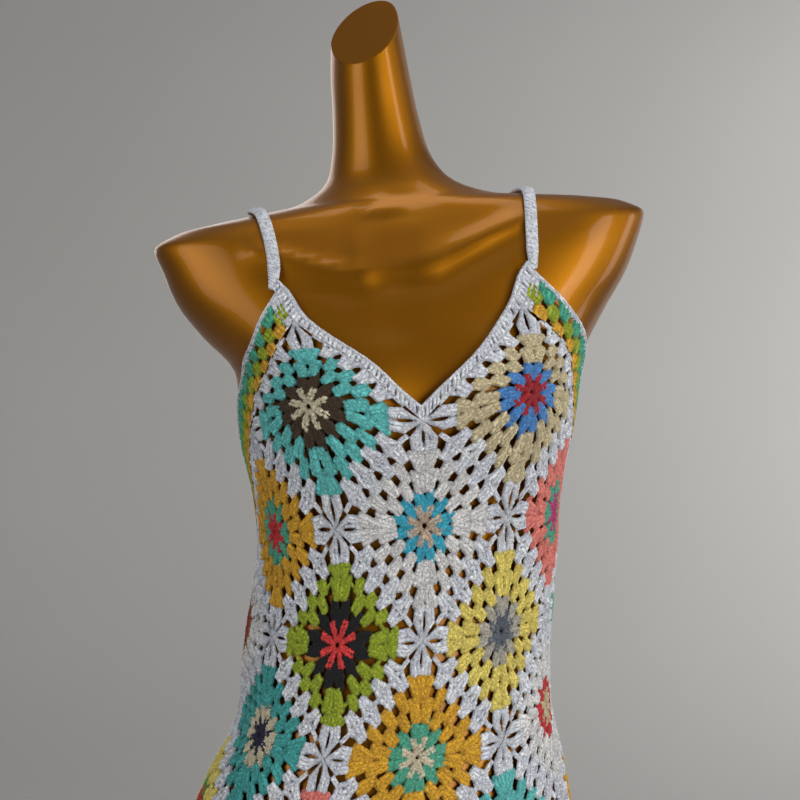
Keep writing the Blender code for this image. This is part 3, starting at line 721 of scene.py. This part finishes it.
# ---- granny squares
CENTRE, PETALS, THIRD, FOURTH, FIFTH, CORNERS = range(6)  # rounds
CLUSTERS = {  # gaps between the stitches, half widths and lifts, foot to head
    "ray": ((0.022, 0.044, 0.048), (0.020, 0.031, 0.034), (0.0004, 0.0006, 0.0005)),
    "petal": ((0.024, 0.046, 0.024), (0.032, 0.037, 0.030), (0.0, 0.0, -0.0003)),
    "middle_fan": ((0.036, 0.052), (0.042, 0.047), (0.0005, -0.0001)),
    "corner_fan": ((0.036, 0.050), (0.042, 0.047), (0.0005, -0.0001)),
    "outer_fan": ((0.036, 0.060), (0.042, 0.047), (0.0005, -0.0001)),
    "toe": ((0.046, 0.058, 0.092), (0.040, 0.040, 0.038), (0.0005, 0.0001, -0.0002)),
    "star": ((0.044, 0.048, 0.018, 0.004), (0.038, 0.031, 0.022, 0.018), (0.0004, 0.0001, 0.0, 0.0)),
}
RAY_ANGLES = (22.5, 67.5)
CENTRE_SHARE = 0.55  # reach of the centre, for the petals' reach
PETAL_MIDDLE = 0.55  # where a petal is fullest
USUAL_REACH = 0.46  # of the petals, in half sides; those that reach further are plumper
PLUMPER = 3
CHAIN_LIFT = -0.0003


def square_strands(petals):
    """Stitches of a square's rounds; petals is the reach of the second round."""
    inner = CENTRE_SHARE * petals
    low3, high3 = petals - 0.060, petals + 0.135
    low4, high4 = high3 - 0.010, 0.812
    gaps, wides, lifts = CLUSTERS["petal"]
    full_gap = gaps[1] * (1 + PLUMPER * (petals - USUAL_REACH))
    kinds = CLUSTERS | {"petal": ((gaps[0], full_gap, gaps[2]), wides, lifts)}
    made = Strands()

    def petal(foot, head):
        middle = [(1 - PETAL_MIDDLE) * a + PETAL_MIDDLE * b for a, b in zip(foot, head)]
        return foot, middle, head

    for angle in np.radians(RAY_ANGLES):
        ray = np.array([math.cos(angle), math.sin(angle)])
        made.cluster([0.050 * ray, 0.6 * inner * ray, inner * ray], *kinds["ray"], CENTRE, posts=2)
    middle_of_side = (
        ("petal", petal((0, inner * 0.72), (0, petals - 0.020)), PETALS),
        ("outer_fan", ((0, low4), (0, high4)), FOURTH),
    )
    half_side = (
        ("petal", petal((0.22 * petals, inner * 0.62), (0.58 * petals, petals * 0.88)), PETALS),
        ("middle_fan", ((0.112, low3), (0.135, high3)), THIRD),
        ("corner_fan", ((low3 - 0.120, low3 - 0.035), (high3 - 0.180, high3 - 0.015)), THIRD),
        ("outer_fan", ((0.245, low4), (0.285, high4)), FOURTH),
        ("outer_fan", ((low4 - 0.080, low4 - 0.020), (0.615, 0.785)), FOURTH),
        ("toe", ((0.140, 0.800), (0.147, 0.905), (0.150, 0.972)), FIFTH),
        ("toe", ((0.420, 0.800), (0.427, 0.905), (0.430, 0.972)), FIFTH),
        ("star", ((0.668, 0.785), (0.752, 0.897), (0.861, 0.943), (0.980, 0.990)), CORNERS),
    )
    for sign, stitches in ((1, middle_of_side), (-1, half_side), (1, half_side)):
        for kind, places, number in stitches:
            made.cluster([(sign * x, y) for x, y in places], *kinds[kind], number)
    heads = (  # places, round and half width
        (((0.190 - high3, high3 - 0.015), (-0.135, high3), (0.135, high3),
          (high3 - 0.190, high3 - 0.015), (high3 - 0.015, high3 - 0.190)), THIRD, 0.030),
        (((-0.600, 0.790), (-0.285, high4), (0.0, high4), (0.285, high4), (0.600, 0.790),
          (0.790, 0.600)), FOURTH, 0.030),
        (((-0.700, 0.986), (-0.300, 0.984), (0.0, 0.986), (0.300, 0.984), (0.700, 0.986)),
         FIFTH, 0.021),
    )
    for places, number, wide in heads:
        made.chain(places, wide, CHAIN_LIFT, number)
    return made.around()


def square_to_chart(places, centre_u, centre_v):
    """Chart places of a square's own places."""
    s, t = places[..., 0], places[..., 1]
    return np.stack([centre_u + (s - t) / 4, centre_v + (s + t) / 2], axis=-1)


SQUARE_STEPS = 100  # grid lines across a square


def add_square(centre_u, centre_v, centre, petals, field, reach=USUAL_REACH):
    """Granny square of five rounds, standing on its corner."""
    row = "cup_" if centre_v == 0 else f"square_row{centre_v + 1}_"
    lines = np.linspace(-1, 1, SQUARE_STEPS + 1)
    made = worked_sheet(row + PLACES[centre_u], square_strands(reach),
                        (centre, petals, field, field, "white", "white"), lines, lines,
                        lambda places: square_to_chart(places, centre_u, centre_v))


# ---- bands and edgings
TIP_NARROW = {-1: 0.34, 1: 0.10}  # share of its width that a band loses near its front tip
TIP_MIDDLE = 0.30
TIP_REACH = 0.32


def band_place(along, out, sign):
    """Chart place on an armhole band: along from its front tip (0) to its back tip (4)."""
    back = along > 2
    r = np.where(back, 4 - along, along)
    tip = TIP_NARROW[sign] * np.exp(-((r - TIP_MIDDLE) / TIP_REACH) ** 2)
    out = out * np.where(back, 1, 1 - tip)
    r = r * (1 - out / 2)
    u, v = 0.5 + (r + out) / 2, -1 + r - out
    u = np.where(back, SQUARES_ROUND / 2 - u, u)
    return np.stack([sign * u, v], axis=-1)


BAND_ROWS = (  # colour, where its stitches start and end across the band
    ("gold", 0.005, 0.085),
    ("lime", 0.080, 0.160),
    ("stripe_teal", 0.155, 0.235),
)
BAND_LENGTH = 8.0  # in half sides, as all that follows
BAND_STEP = 1 / 3  # from one cluster to the next
ROW_STARTS = (0.75, 0.25)  # where rows start in turn, as a share of a step
BAND_CLUSTER = ((0.060, 0.084), (0.044, 0.046), (0.0004, -0.0001))
EDGE_ROWS = (-0.030, -0.008)
EDGE_STEP = 0.08
SEAM_OUT = 0.018
END_ROWS = (0.03, 0.09)
END_FROM = 0.02
END_POINTS = 8
BAND_CHAINS = {  # half width and lift
    "heads": (0.024, -0.0003), "edge": (0.030, 0.0), "seam": (0.026, -0.0004),
    "end": (0.036, -0.0002),
}
BAND_GRID = (330, 24)


def add_band(name, sign):
    """Striped band of an armhole: three rows of clusters and a plain white edge."""
    made = Strands()
    white = len(BAND_ROWS)
    full = 2 * BAND_WIDTH
    for row, (_, low, high) in enumerate(BAND_ROWS):
        for at in np.arange(ROW_STARTS[row % 2] * BAND_STEP, BAND_LENGTH, BAND_STEP):
            made.cluster([(at, 2 * low), (at, 2 * high)], *BAND_CLUSTER, row)
        heads = np.arange(0, BAND_LENGTH + BAND_STEP, BAND_STEP)
        made.chain([(at, 2 * high) for at in heads], *BAND_CHAINS["heads"], row)
    heads = np.arange(0, BAND_LENGTH + EDGE_STEP, EDGE_STEP)
    for out in EDGE_ROWS:
        made.chain([(at, full + 2 * out) for at in heads], *BAND_CHAINS["edge"], white)
    made.chain([(at, SEAM_OUT) for at in heads], *BAND_CHAINS["seam"], white)
    for end in (*END_ROWS, *(BAND_LENGTH - row for row in reversed(END_ROWS))):
        ends = np.linspace(END_FROM, full, END_POINTS)
        made.chain([(end, out) for out in ends], *BAND_CHAINS["end"], white)
    colours = [row[0] for row in BAND_ROWS] + ["white"]
    made = worked_sheet(name, np.array(made.rows), colours,
                        np.linspace(0, BAND_LENGTH, BAND_GRID[0] + 1),
                        np.linspace(0, full, BAND_GRID[1] + 1),
                        lambda places: band_place(places[..., 0] / 2, places[..., 1] / 2, sign))


EDGING_REACH = 0.150  # how far an edging stands out from the squares, in half sides
EDGING_STEP = 0.068  # from one of its stitches to the next
EDGING_LEAN = 0.020
EDGING_POST = ((0.0, 0.0), (0.030, 0.036), (0.0002, 0.0))  # gaps, half widths, lifts
EDGING_HEAD = 0.105
EDGING_CHAINS = ((0.122, 0.027, 0.0003), (0.012, 0.020, -0.0004))  # place, half width, lift
EDGING_GRID = 0.0155


def edging_to_chart(places, corners, turns, facing):
    """Chart places of an edging: x runs along its corners, y out from them, in half sides."""
    scale = np.array([4, 2]) / math.sqrt(2)
    corners = np.array(corners) * scale
    ahead = np.diff(corners, axis=0)
    lengths = np.linalg.norm(ahead, axis=1)
    ahead = ahead / lengths[:, None]
    out = facing * np.stack([ahead[:, 1], -ahead[:, 0]], axis=-1)
    ends = np.concatenate([[0], np.cumsum(lengths)])
    x, y = places[..., 0], places[..., 1]
    i = np.clip(np.searchsorted(ends, x, side="right") - 1, 0, len(lengths) - 1)
    share = (x - ends[i]) / lengths[i]
    turns = np.array(turns)
    run = turns[i] * y + share * (lengths[i] - (turns[i] + turns[i + 1]) * y)
    return (corners[i] + ahead[i] * run[..., None] + out[i] * y[..., None]) / scale


def add_edging(name, corners, turns, facing):
    """White edging along a line of corners: a row of stitches and a chain over their heads."""
    length = 2 * np.abs(np.diff(np.array(corners)[:, 1])).sum()
    made = Strands()
    for at in np.arange(EDGING_STEP / 2, length, EDGING_STEP):
        made.cluster([(at, 0.0), (at + EDGING_LEAN, EDGING_HEAD)], *EDGING_POST, 0, posts=1)
    heads = np.arange(0, length + EDGING_STEP, EDGING_STEP)
    for out, wide, lift in EDGING_CHAINS:
        made.chain([(at, out) for at in heads], wide, lift, 0)
    made = worked_sheet(name, np.array(made.rows), ["white"],
                        np.linspace(0, length, round(length / EDGING_GRID) + 1),
                        np.linspace(0, EDGING_REACH, round(EDGING_REACH / EDGING_GRID) + 1),
                        lambda places: edging_to_chart(places, corners, turns, facing))


def add_edgings(place, middle_u):
    """Edging of a V neckline and of the zigzag hem of three squares under it."""
    corners = [(middle_u + run / 2, -abs(run)) for run in (-TIP_RUN, 0, TIP_RUN)]
    add_edging("neckline_edging_" + place, corners, (0, 1, 0), 1)
    corners = [(middle_u + (i - 3) / 2, LAST_ROW + i % 2) for i in range(7)]
    add_edging("hem_edging_" + place, corners, [(-1) ** i for i in range(7)], -1)


# ---- straps
STRAP_PITCH = 0.0027  # one row of its stitches
STRAP_ROW_STEPS = 6
STRAP_ROUND_STEPS = 18
STRAP_BODY = (0.0046, 0.0016)  # half width and half thickness of its body under the relief
STRAP_STATIONS = 160
STRAP_SMOOTHINGS = 60
STRAP_SQUARE = 0.75  # 1 is an oval section, 0 a box
STRAP_END = 0.0016  # length over which an end closes
STRAP_END_LEAST = 0.01
RELIEF_SPREAD = 0.6  # share of the relief that also widens the strap
RUNG_LEAN = 0.45
RIB_LEAN = 0.9
RUNGS = (0.00062, 0.7)  # height, and how blunt they are
RIBS = (0.00055, 0.6)
RIB_FROM = (0.52, 0.12)  # where the ribs begin, and over what share of the half width
GROOVE = (0.0005, 0.58, 0.07)  # between them: depth, place, width


def strap_route(sign):
    """Middle points and outward normals of a strap over the shoulder, front tip to back tip."""
    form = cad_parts["form_torso"]
    tree = BVHTree.FromPolygons([v.co for v in form.data.vertices],
                                [p.vertices[:] for p in form.data.polygons])
    ends = chart_point(np.array([sign * STRAP_START_U, sign * (SQUARES_ROUND / 2 - STRAP_START_U)]),
                       np.array([STRAP_START_V, STRAP_START_V]))
    front, back = (Vector(end) for end in ends)
    axis_z = (front.z + back.z) / 2
    lift = STRAP_CLEARANCE + STRAP_THICK / 2
    start = math.atan2(front.z - axis_z, -front.y)
    stop = math.pi - math.atan2(back.z - axis_z, back.y)
    points, normals = [], []
    for share in np.linspace(0, 1, STRAP_STATIONS):
        turn = start + (stop - start) * share
        bow = STRAP_BOW[sign] * math.sin(math.pi * share) ** 2
        x = front.x + (back.x - front.x) * share + bow
        away = Vector((0, -math.cos(turn), math.sin(turn)))
        hit, normal, _, _ = tree.ray_cast(Vector((x, 0, axis_z)) + away, -away)
        points.append(np.array(hit))
        normals.append(np.array(normal))
    points, normals = np.array(points), np.array(normals)
    for _ in range(STRAP_SMOOTHINGS):
        normals[1:-1] = (normals[:-2] + 2 * normals[1:-1] + normals[2:]) / 4
        normals = unit(normals)
    return points + normals * lift, normals


def strap_relief(across, along):
    """Height of a strap's stitches: slanted rungs between two ribs of smaller stitches."""
    rungs = RUNGS[0] * np.abs(np.sin(math.pi * (along + RUNG_LEAN * across))) ** RUNGS[1]
    ribs = RIBS[0] * np.abs(np.sin(math.pi * (along - RIB_LEAN * np.abs(across)))) ** RIBS[1]
    edge = np.clip((np.abs(across) - RIB_FROM[0]) / RIB_FROM[1], 0, 1)
    groove = GROOVE[0] * np.exp(-((np.abs(across) - GROOVE[1]) / GROOVE[2]) ** 2)
    return rungs * (1 - edge) + ribs * edge - groove


def add_strap(name, sign):
    """Flat crocheted cord over one shoulder, its stitches raised on a closed body."""
    middles, normals = strap_route(sign)
    run = np.concatenate([[0], np.cumsum(np.linalg.norm(np.diff(middles, axis=0), axis=1))])
    total = run[-1]
    steps = round(total / STRAP_PITCH) * STRAP_ROW_STEPS
    distance = np.linspace(0, total, steps + 1)
    middle, normal = (np.stack([np.interp(distance, run, line) for line in lines.T], axis=-1)
                      for lines in (middles, normals))
    normal = unit(normal)
    side = unit(np.cross(np.gradient(middle, axis=0), normal))
    from_end = np.minimum(distance, total - distance)
    taper = 1 - STRAP_TAPER * np.clip(1 - from_end / STRAP_TAPER_LENGTH, 0, 1)
    end = np.sqrt(np.clip(from_end / STRAP_END, STRAP_END_LEAST, 1))[:, None]

    angle = 2 * math.pi * np.arange(STRAP_ROUND_STEPS) / STRAP_ROUND_STEPS
    across = np.cos(angle)[None, :]
    out = strap_relief(across, (distance / STRAP_PITCH)[:, None])
    wide = (STRAP_BODY[0] + out * RELIEF_SPREAD) * (taper[:, None] * end) * across
    thick = np.sign(np.sin(angle)) * np.abs(np.sin(angle)) ** STRAP_SQUARE
    thick = (STRAP_BODY[1] + out) * end * thick
    points = middle[:, None] + side[:, None] * wide[..., None] + normal[:, None] * thick[..., None]

    i, j = np.meshgrid(range(steps), range(STRAP_ROUND_STEPS), indexing="ij")
    rows = i[..., None] + np.array([0, 0, 1, 1])
    edges = (j[..., None] + np.array([0, 1, 1, 0])) % STRAP_ROUND_STEPS
    turn = np.cos(angle[edges])
    uv = np.stack([turn, rows / STRAP_ROW_STEPS + RUNG_LEAN * turn], axis=-1).reshape(-1, 2)
    quads = (rows * STRAP_ROUND_STEPS + edges).reshape(-1, 4)
    made = yarn_piece(name, points.reshape(-1, 3), quads, uv,
                      np.full(len(quads), "white"), np.full(points.size // 3, 0.5))


# ---- dress form
FORM_SIDES = 120
FORM_RINGS_BETWEEN = 4
RELIEF_FADE = 0.03  # depth over which the relief fades out towards the sides
CUT_INSET = (0.0008, 0.0004)  # width and depth of the step round the neck's cut
FORM_RELIEF = (  # tendons, collar bones and hollows: line of (x, z), half width, height
    (((-0.100, 0.934), (-0.066, 0.9215), (-0.040, 0.9155), (-0.014, 0.9135)), 0.0060, 0.0034),
    (((-0.090, 0.9150), (-0.060, 0.9050), (-0.030, 0.9020)), 0.0075, -0.0016),
    (((0.020, 0.9170), (0.040, 0.9265), (0.062, 0.9395), (0.105, 0.9610)), 0.0060, 0.0034),
    (((0.028, 0.9060), (0.055, 0.9220), (0.090, 0.9400)), 0.0075, -0.0016),
    (((-0.0135, 0.925), (-0.0115, 0.942), (-0.0075, 0.962)), 0.0105, 0.0040),
    (((0.0225, 0.927), (0.0205, 0.943), (0.0170, 0.960)), 0.0095, 0.0034),
    (((0.0055, 0.915), (0.0050, 0.935), (0.0060, 0.955)), 0.0085, -0.0070),
    (((0.0050, 0.905), (0.0040, 0.870)), 0.0100, -0.0016),
)


def relief(x, z):
    """How far the form's front stands out over its plain sections."""
    out = np.zeros(len(x))
    for line, width, height in FORM_RELIEF:
        nearest = np.full(len(x), 1e9)
        for (ax, az), (bx, bz) in zip(line, line[1:]):
            dx, dz = bx - ax, bz - az
            share = np.clip(((x - ax) * dx + (z - az) * dz) / (dx * dx + dz * dz), 0, 1)
            nearest = np.minimum(nearest, np.hypot(x - ax - share * dx, z - az - share * dz))
        out += height * np.exp(-(nearest / width) ** 2)
    return out


def add_form(finishes):
    """Smooth limbless torso with shoulder stubs and a slanted neck cut."""
    rows = table(FORM_SECTIONS, SECTION_COLUMNS)
    run = np.concatenate([[0], np.cumsum(np.hypot(np.diff(rows["height"]), np.diff(rows["half"])))])
    stations = np.interp(np.linspace(0, len(run) - 1, (len(run) - 1) * FORM_RINGS_BETWEEN + 1),
                         range(len(run)), run)
    angle = np.linspace(0, 2 * math.pi, FORM_SIDES, endpoint=False)
    rings = []
    for at in stations:
        section = {name: smooth(run, rows[name], np.full(FORM_SIDES, at)) for name in SECTION_COLUMNS}
        rings.append(np.stack(section_point(section, angle, CUP_OUT_FORM), axis=-1))
    rings = np.array(rings)
    front = rings[..., 1] < 0
    out = relief(rings[..., 0].ravel(), rings[..., 2].ravel()).reshape(front.shape)
    rings[..., 1] -= np.where(front, out * np.clip(-rings[..., 1] / RELIEF_FADE, 0, 1), 0)

    mesh = bpy.data.meshes.new("form_torso_gold")
    faces = end_faces(len(stations), FORM_SIDES) + ring_faces(len(stations), FORM_SIDES)
    mesh.from_pydata(rings.reshape(-1, 3).tolist(), [], faces)
    shape = bmesh.new()
    shape.from_mesh(mesh)
    everything = shape.verts[:] + shape.edges[:] + shape.faces[:]
    x, y, z = NECK_CUT_POINT
    cut = bmesh.ops.bisect_plane(shape, geom=everything, plane_no=NECK_CUT_NORMAL, clear_outer=True,
                                 plane_co=(x + BUST_SHIFT, y, z + BUST_HEIGHT))
    rim = [item for item in cut["geom_cut"] if isinstance(item, bmesh.types.BMEdge)]
    filled = bmesh.ops.edgenet_fill(shape, edges=rim)["faces"]
    bmesh.ops.recalc_face_normals(shape, faces=shape.faces)
    for face in shape.faces:
        face.smooth = True
    for face in filled:
        face.material_index = 1
        face.smooth = False
        for edge in face.edges:
            edge.smooth = False
    bmesh.ops.inset_region(shape, faces=filled, thickness=CUT_INSET[0], depth=CUT_INSET[1])
    shape.to_mesh(mesh)
    shape.free()
    add_piece("form_torso_gold", mesh, finishes, "form_torso")


GOLD_FINISHES = (  # name, roughness, coat and lightness, for the torso and for its neck's cut; the cut's lower lightness is painted shade on a face turned away from the light
    ("form_gold", 0.46, 0.28, 1.0),
    ("form_gold_cut", 0.6, 0.0, 0.8),
)
GOLD_NOISE = {"flake": (2600.0, 1.0), "cloud": (9.0, 2.0), "peel": (260.0, 1.0)}  # scale, detail
FLAKE_RANGE = (0.35, 0.7)
FLAKE_SHADE = 0.8
CLOUD_SHADES = (0.92, 1.06)
CLOUD_ROUGHNESS = (-0.02, 0.03)
FLAKE_BUMP = (0.12, 0.0001)  # strength and height
PEEL_BUMP = (0.03, 0.0005)


def gold_finish(name, roughness, coat, lightness):
    """Gold lacquer: fine metal flakes under a clear coat."""
    made = Finish(name, Metallic=1.0, Coat_Weight=coat, Coat_Roughness=0.10, Coat_IOR=1.5,
                  Roughness=roughness, IOR=1.5)
    # lightness under 1 paints shade into the base colour, as on the neck's cut
    base = shade(linear(FORM_GOLD), lightness)
    flake, cloud, peel = (made.noise(*GOLD_NOISE[kind]) for kind in ("flake", "cloud", "peel"))
    body = made.blend(made.spread(cloud, *MIDDLE_NOISE), *(shade(base, f) for f in CLOUD_SHADES))
    body = made.blend(made.spread(flake, *FLAKE_RANGE), shade(base, FLAKE_SHADE), body)
    rough = made.spread(cloud, *MIDDLE_NOISE, *(roughness + more for more in CLOUD_ROUGHNESS))
    return made.wear(Base_Color=body, Roughness=rough, Normal=made.bump(flake, *FLAKE_BUMP),
                     Coat_Normal=made.bump(peel, *PEEL_BUMP))


# ---- stand
TURNED_SIDES = 96
SHARP_ANGLE = 40
ROUND_STEPS = 4
POLE_EDGE = (0.002, 0.0004)  # width of the ring before an edge, and the edge's own radius
PLATE_EDGE = (0.004, 0.002)


def turned(name, profile, closed):
    """Mesh of a profile of (radius, z) turned round the z axis."""
    angle = np.linspace(0, 2 * math.pi, TURNED_SIDES, endpoint=False)
    points = [(r * math.cos(a), r * math.sin(a), z) for r, z in profile for a in angle]
    faces = end_faces(len(profile), TURNED_SIDES) if closed else []
    mesh = bpy.data.meshes.new(name)
    mesh.from_pydata(points, [], faces + ring_faces(len(profile), TURNED_SIDES))
    mesh.shade_smooth()
    return mesh


def lathe(name, profile, finish, replaced):
    """Turned piece of the stand, closed at both ends."""
    mesh = turned(name, profile, closed=True)
    mesh.set_sharp_from_angle(angle=math.radians(SHARP_ANGLE))
    add_piece(name, mesh, [finish], replaced)


def rounded(profile, radius):
    """A profile with its inner corners rounded."""
    points = [profile[0]]
    for before, corner, after in zip(profile, profile[1:], profile[2:]):
        corner = np.array(corner)
        back, on = np.array(before) - corner, np.array(after) - corner
        reach = min(radius, np.linalg.norm(back) / 2, np.linalg.norm(on) / 2)
        a = corner + back / np.linalg.norm(back) * reach
        b = corner + on / np.linalg.norm(on) * reach
        for t in np.linspace(0, 1, ROUND_STEPS + 1):
            points.append(tuple((1 - t) ** 2 * a + 2 * t * (1 - t) * corner + t * t * b))
    return points + [profile[-1]]


STEEL_COLOURS = ((150, 150, 152), (188, 188, 190))
STEEL_STREAKS = (900.0, 900.0, 6.0)  # noise for one metre, along x, y and z
STEEL_NOISE = (1.0, 3.0, 0.6)
BLACK_COLOURS = ((20, 20, 22), (40, 40, 42))
BLACK_NOISE = (1500.0, 2.0)


def add_stand():
    """Steel tube and a domed black base plate."""
    steel = Finish("pole_steel", Metallic=1.0, Roughness=0.3)
    streak = steel.add("Mapping", Scale=STEEL_STREAKS,
                       Vector=steel.add("TexCoord").outputs["Object"]).outputs[0]
    steel.grained(steel.noise(*STEEL_NOISE, vector=streak), STEEL_COLOURS, (0.22, 0.4),
                  (0.15, 0.0002))
    black = Finish("base_black", Roughness=0.5)
    black.grained(black.noise(*BLACK_NOISE), BLACK_COLOURS, (0.42, 0.62), (0.35, 0.0003))
    foot, top = (end.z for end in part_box("stand_pole"))
    pole = ((POLE_RADIUS - POLE_EDGE[0], foot), (POLE_RADIUS, foot), (POLE_RADIUS, top),
            (POLE_RADIUS - POLE_EDGE[0], top))
    plate = ((BASE_RADIUS - PLATE_EDGE[0], 0.0), (BASE_RADIUS, 0.0), (BASE_RADIUS, BASE_EDGE),
             (BASE_HUB_RADIUS, BASE_HEIGHT), (POLE_RADIUS, BASE_HEIGHT))
    lathe("stand_pole_steel", rounded(pole, POLE_EDGE[1]), steel.material, "stand_pole")
    lathe("stand_base_black", rounded(plate, PLATE_EDGE[1]), black.material, "stand_base")


# ---- stage, light and camera
STAGE_FLAT = 2.0  # radius of the flat floor
STAGE_RADIUS = 3.3  # radius of the backdrop that rises round it
STAGE_HEIGHT = 3.6
STAGE_BEND_STEPS = 16
STAGE_COLOURS = ((172, 170, 167), (179, 178, 175))
STAGE_NOISE = (1.3, 3.0)


def add_stage():
    """Pale floor that curves up all round into a plain backdrop."""
    bend = STAGE_RADIUS - STAGE_FLAT
    profile = [(0.001, 0.0), (STAGE_FLAT * 0.5, 0.0), (STAGE_FLAT, 0.0)]
    profile += [(STAGE_FLAT + bend * math.sin(a), bend * (1 - math.cos(a)))
                for a in np.linspace(0, math.pi / 2, STAGE_BEND_STEPS + 1)[1:]]
    mesh = turned("stage", profile + [(STAGE_RADIUS, STAGE_HEIGHT)], closed=False)
    paint = Finish("stage_paint", Roughness=0.9, Specular_IOR_Level=0.2)
    paint.wear(Base_Color=paint.blend(paint.noise(*STAGE_NOISE), *map(linear, STAGE_COLOURS)))
    mesh.materials.append(paint.material)
    made = bpy.data.objects.new("stage", mesh)
    bpy.context.collection.objects.link(made)


LIGHT_SPREAD = 125.0  # degrees
CHEST = (BUST_SHIFT, 0.0, BUST_HEIGHT + 0.05)
LIGHTS = (  # name, place, target, size, power in watts, colour
    ("key", (2.00, -1.25, 1.60), CHEST, (0.5, 1.3), 5.0, (1.0, 0.98, 0.95)),
    ("window", (2.4, 0.0, 1.10), CHEST, (0.5, 1.2), 3.5, (0.97, 0.98, 1.0)),
    ("low", (1.4, -1.9, 0.75), (BUST_SHIFT, 0.0, 0.70), (1.6, 1.2), 15.0, (1, 1, 1)),
    ("fill", (-2.2, -1.4, 1.4), CHEST, (1.6, 2.2), 13.0, (0.97, 0.98, 1.0)),
    ("top", (0.2, -0.5, 3.2), CHEST, (1.2, 1.2), 6.0, (1, 1, 1)),
    ("back", (-0.6, 2.4, 1.7), CHEST, (2.0, 1.6), 8.0, (1, 1, 1)),
    ("wall", (2.3, 1.4, 1.5), (1.5, 3.2, 0.9), (1.0, 1.6), 25.0, (1, 1, 1)),
)
WORLD_COLOUR = (206, 206, 210)
WORLD_STRENGTH = 0.54


def add_light(name, place, target, size, power, colour):
    """Soft rectangular light that faces a point and doesn't show itself."""
    data = bpy.data.lights.new(name, "AREA")
    data.shape = "RECTANGLE"
    data.size, data.size_y = size
    data.energy = power
    data.color = colour
    data.spread = math.radians(LIGHT_SPREAD)
    made = bpy.data.objects.new(name, data)
    made.location = place
    made.rotation_euler = (Vector(target) - Vector(place)).to_track_quat("-Z", "Y").to_euler()
    made.visible_camera = False
    bpy.context.collection.objects.link(made)


def add_world():
    """Even pale light from all round."""
    world = bpy.data.worlds.new("studio")
    world.use_nodes = True
    background = world.node_tree.nodes["Background"]
    background.inputs["Color"].default_value = linear(WORLD_COLOUR)
    background.inputs["Strength"].default_value = WORLD_STRENGTH
    bpy.context.scene.world = world


CAMERA_DISTANCE = 1.40
CAMERA_YAW = 7.0  # degrees to the -X side
CAMERA_HEIGHT = 0.820
FOCAL_PIXELS = 1750.0
PICTURE_PIXELS = 800.0
SENSOR = 36.0
CAMERA_NUDGE = -0.0014  # to its own right


def add_camera():
    """Level camera at the bust's height, which shows colours as they are."""
    data = bpy.data.cameras.new("camera")
    data.sensor_width = SENSOR
    data.lens = SENSOR * FOCAL_PIXELS / PICTURE_PIXELS
    data.clip_start = 0.05
    made = bpy.data.objects.new("camera", data)
    yaw = math.radians(CAMERA_YAW)
    made.location = (
        BUST_SHIFT - CAMERA_DISTANCE * math.sin(yaw) + CAMERA_NUDGE * math.cos(yaw),
        -CAMERA_DISTANCE * math.cos(yaw) - CAMERA_NUDGE * math.sin(yaw), CAMERA_HEIGHT)
    made.rotation_euler = (math.pi / 2, 0, -yaw)
    bpy.context.collection.objects.link(made)
    bpy.context.scene.camera = made
    bpy.context.scene.view_settings.view_transform = "Standard"


# ---- the whole picture
add_camera()
add_form([gold_finish(*row) for row in GOLD_FINISHES])
add_stand()
for row in SQUARES:
    add_square(*row)
for side, sign in (("right", 1), ("left", -1)):
    add_band("armhole_band_" + side, sign)
    add_strap("strap_" + side, sign)
for place, middle_u in (("front", 0), ("back", 3)):
    add_edgings(place, middle_u)
add_stage()
for row in LIGHTS:
    add_light(*row)
add_world()
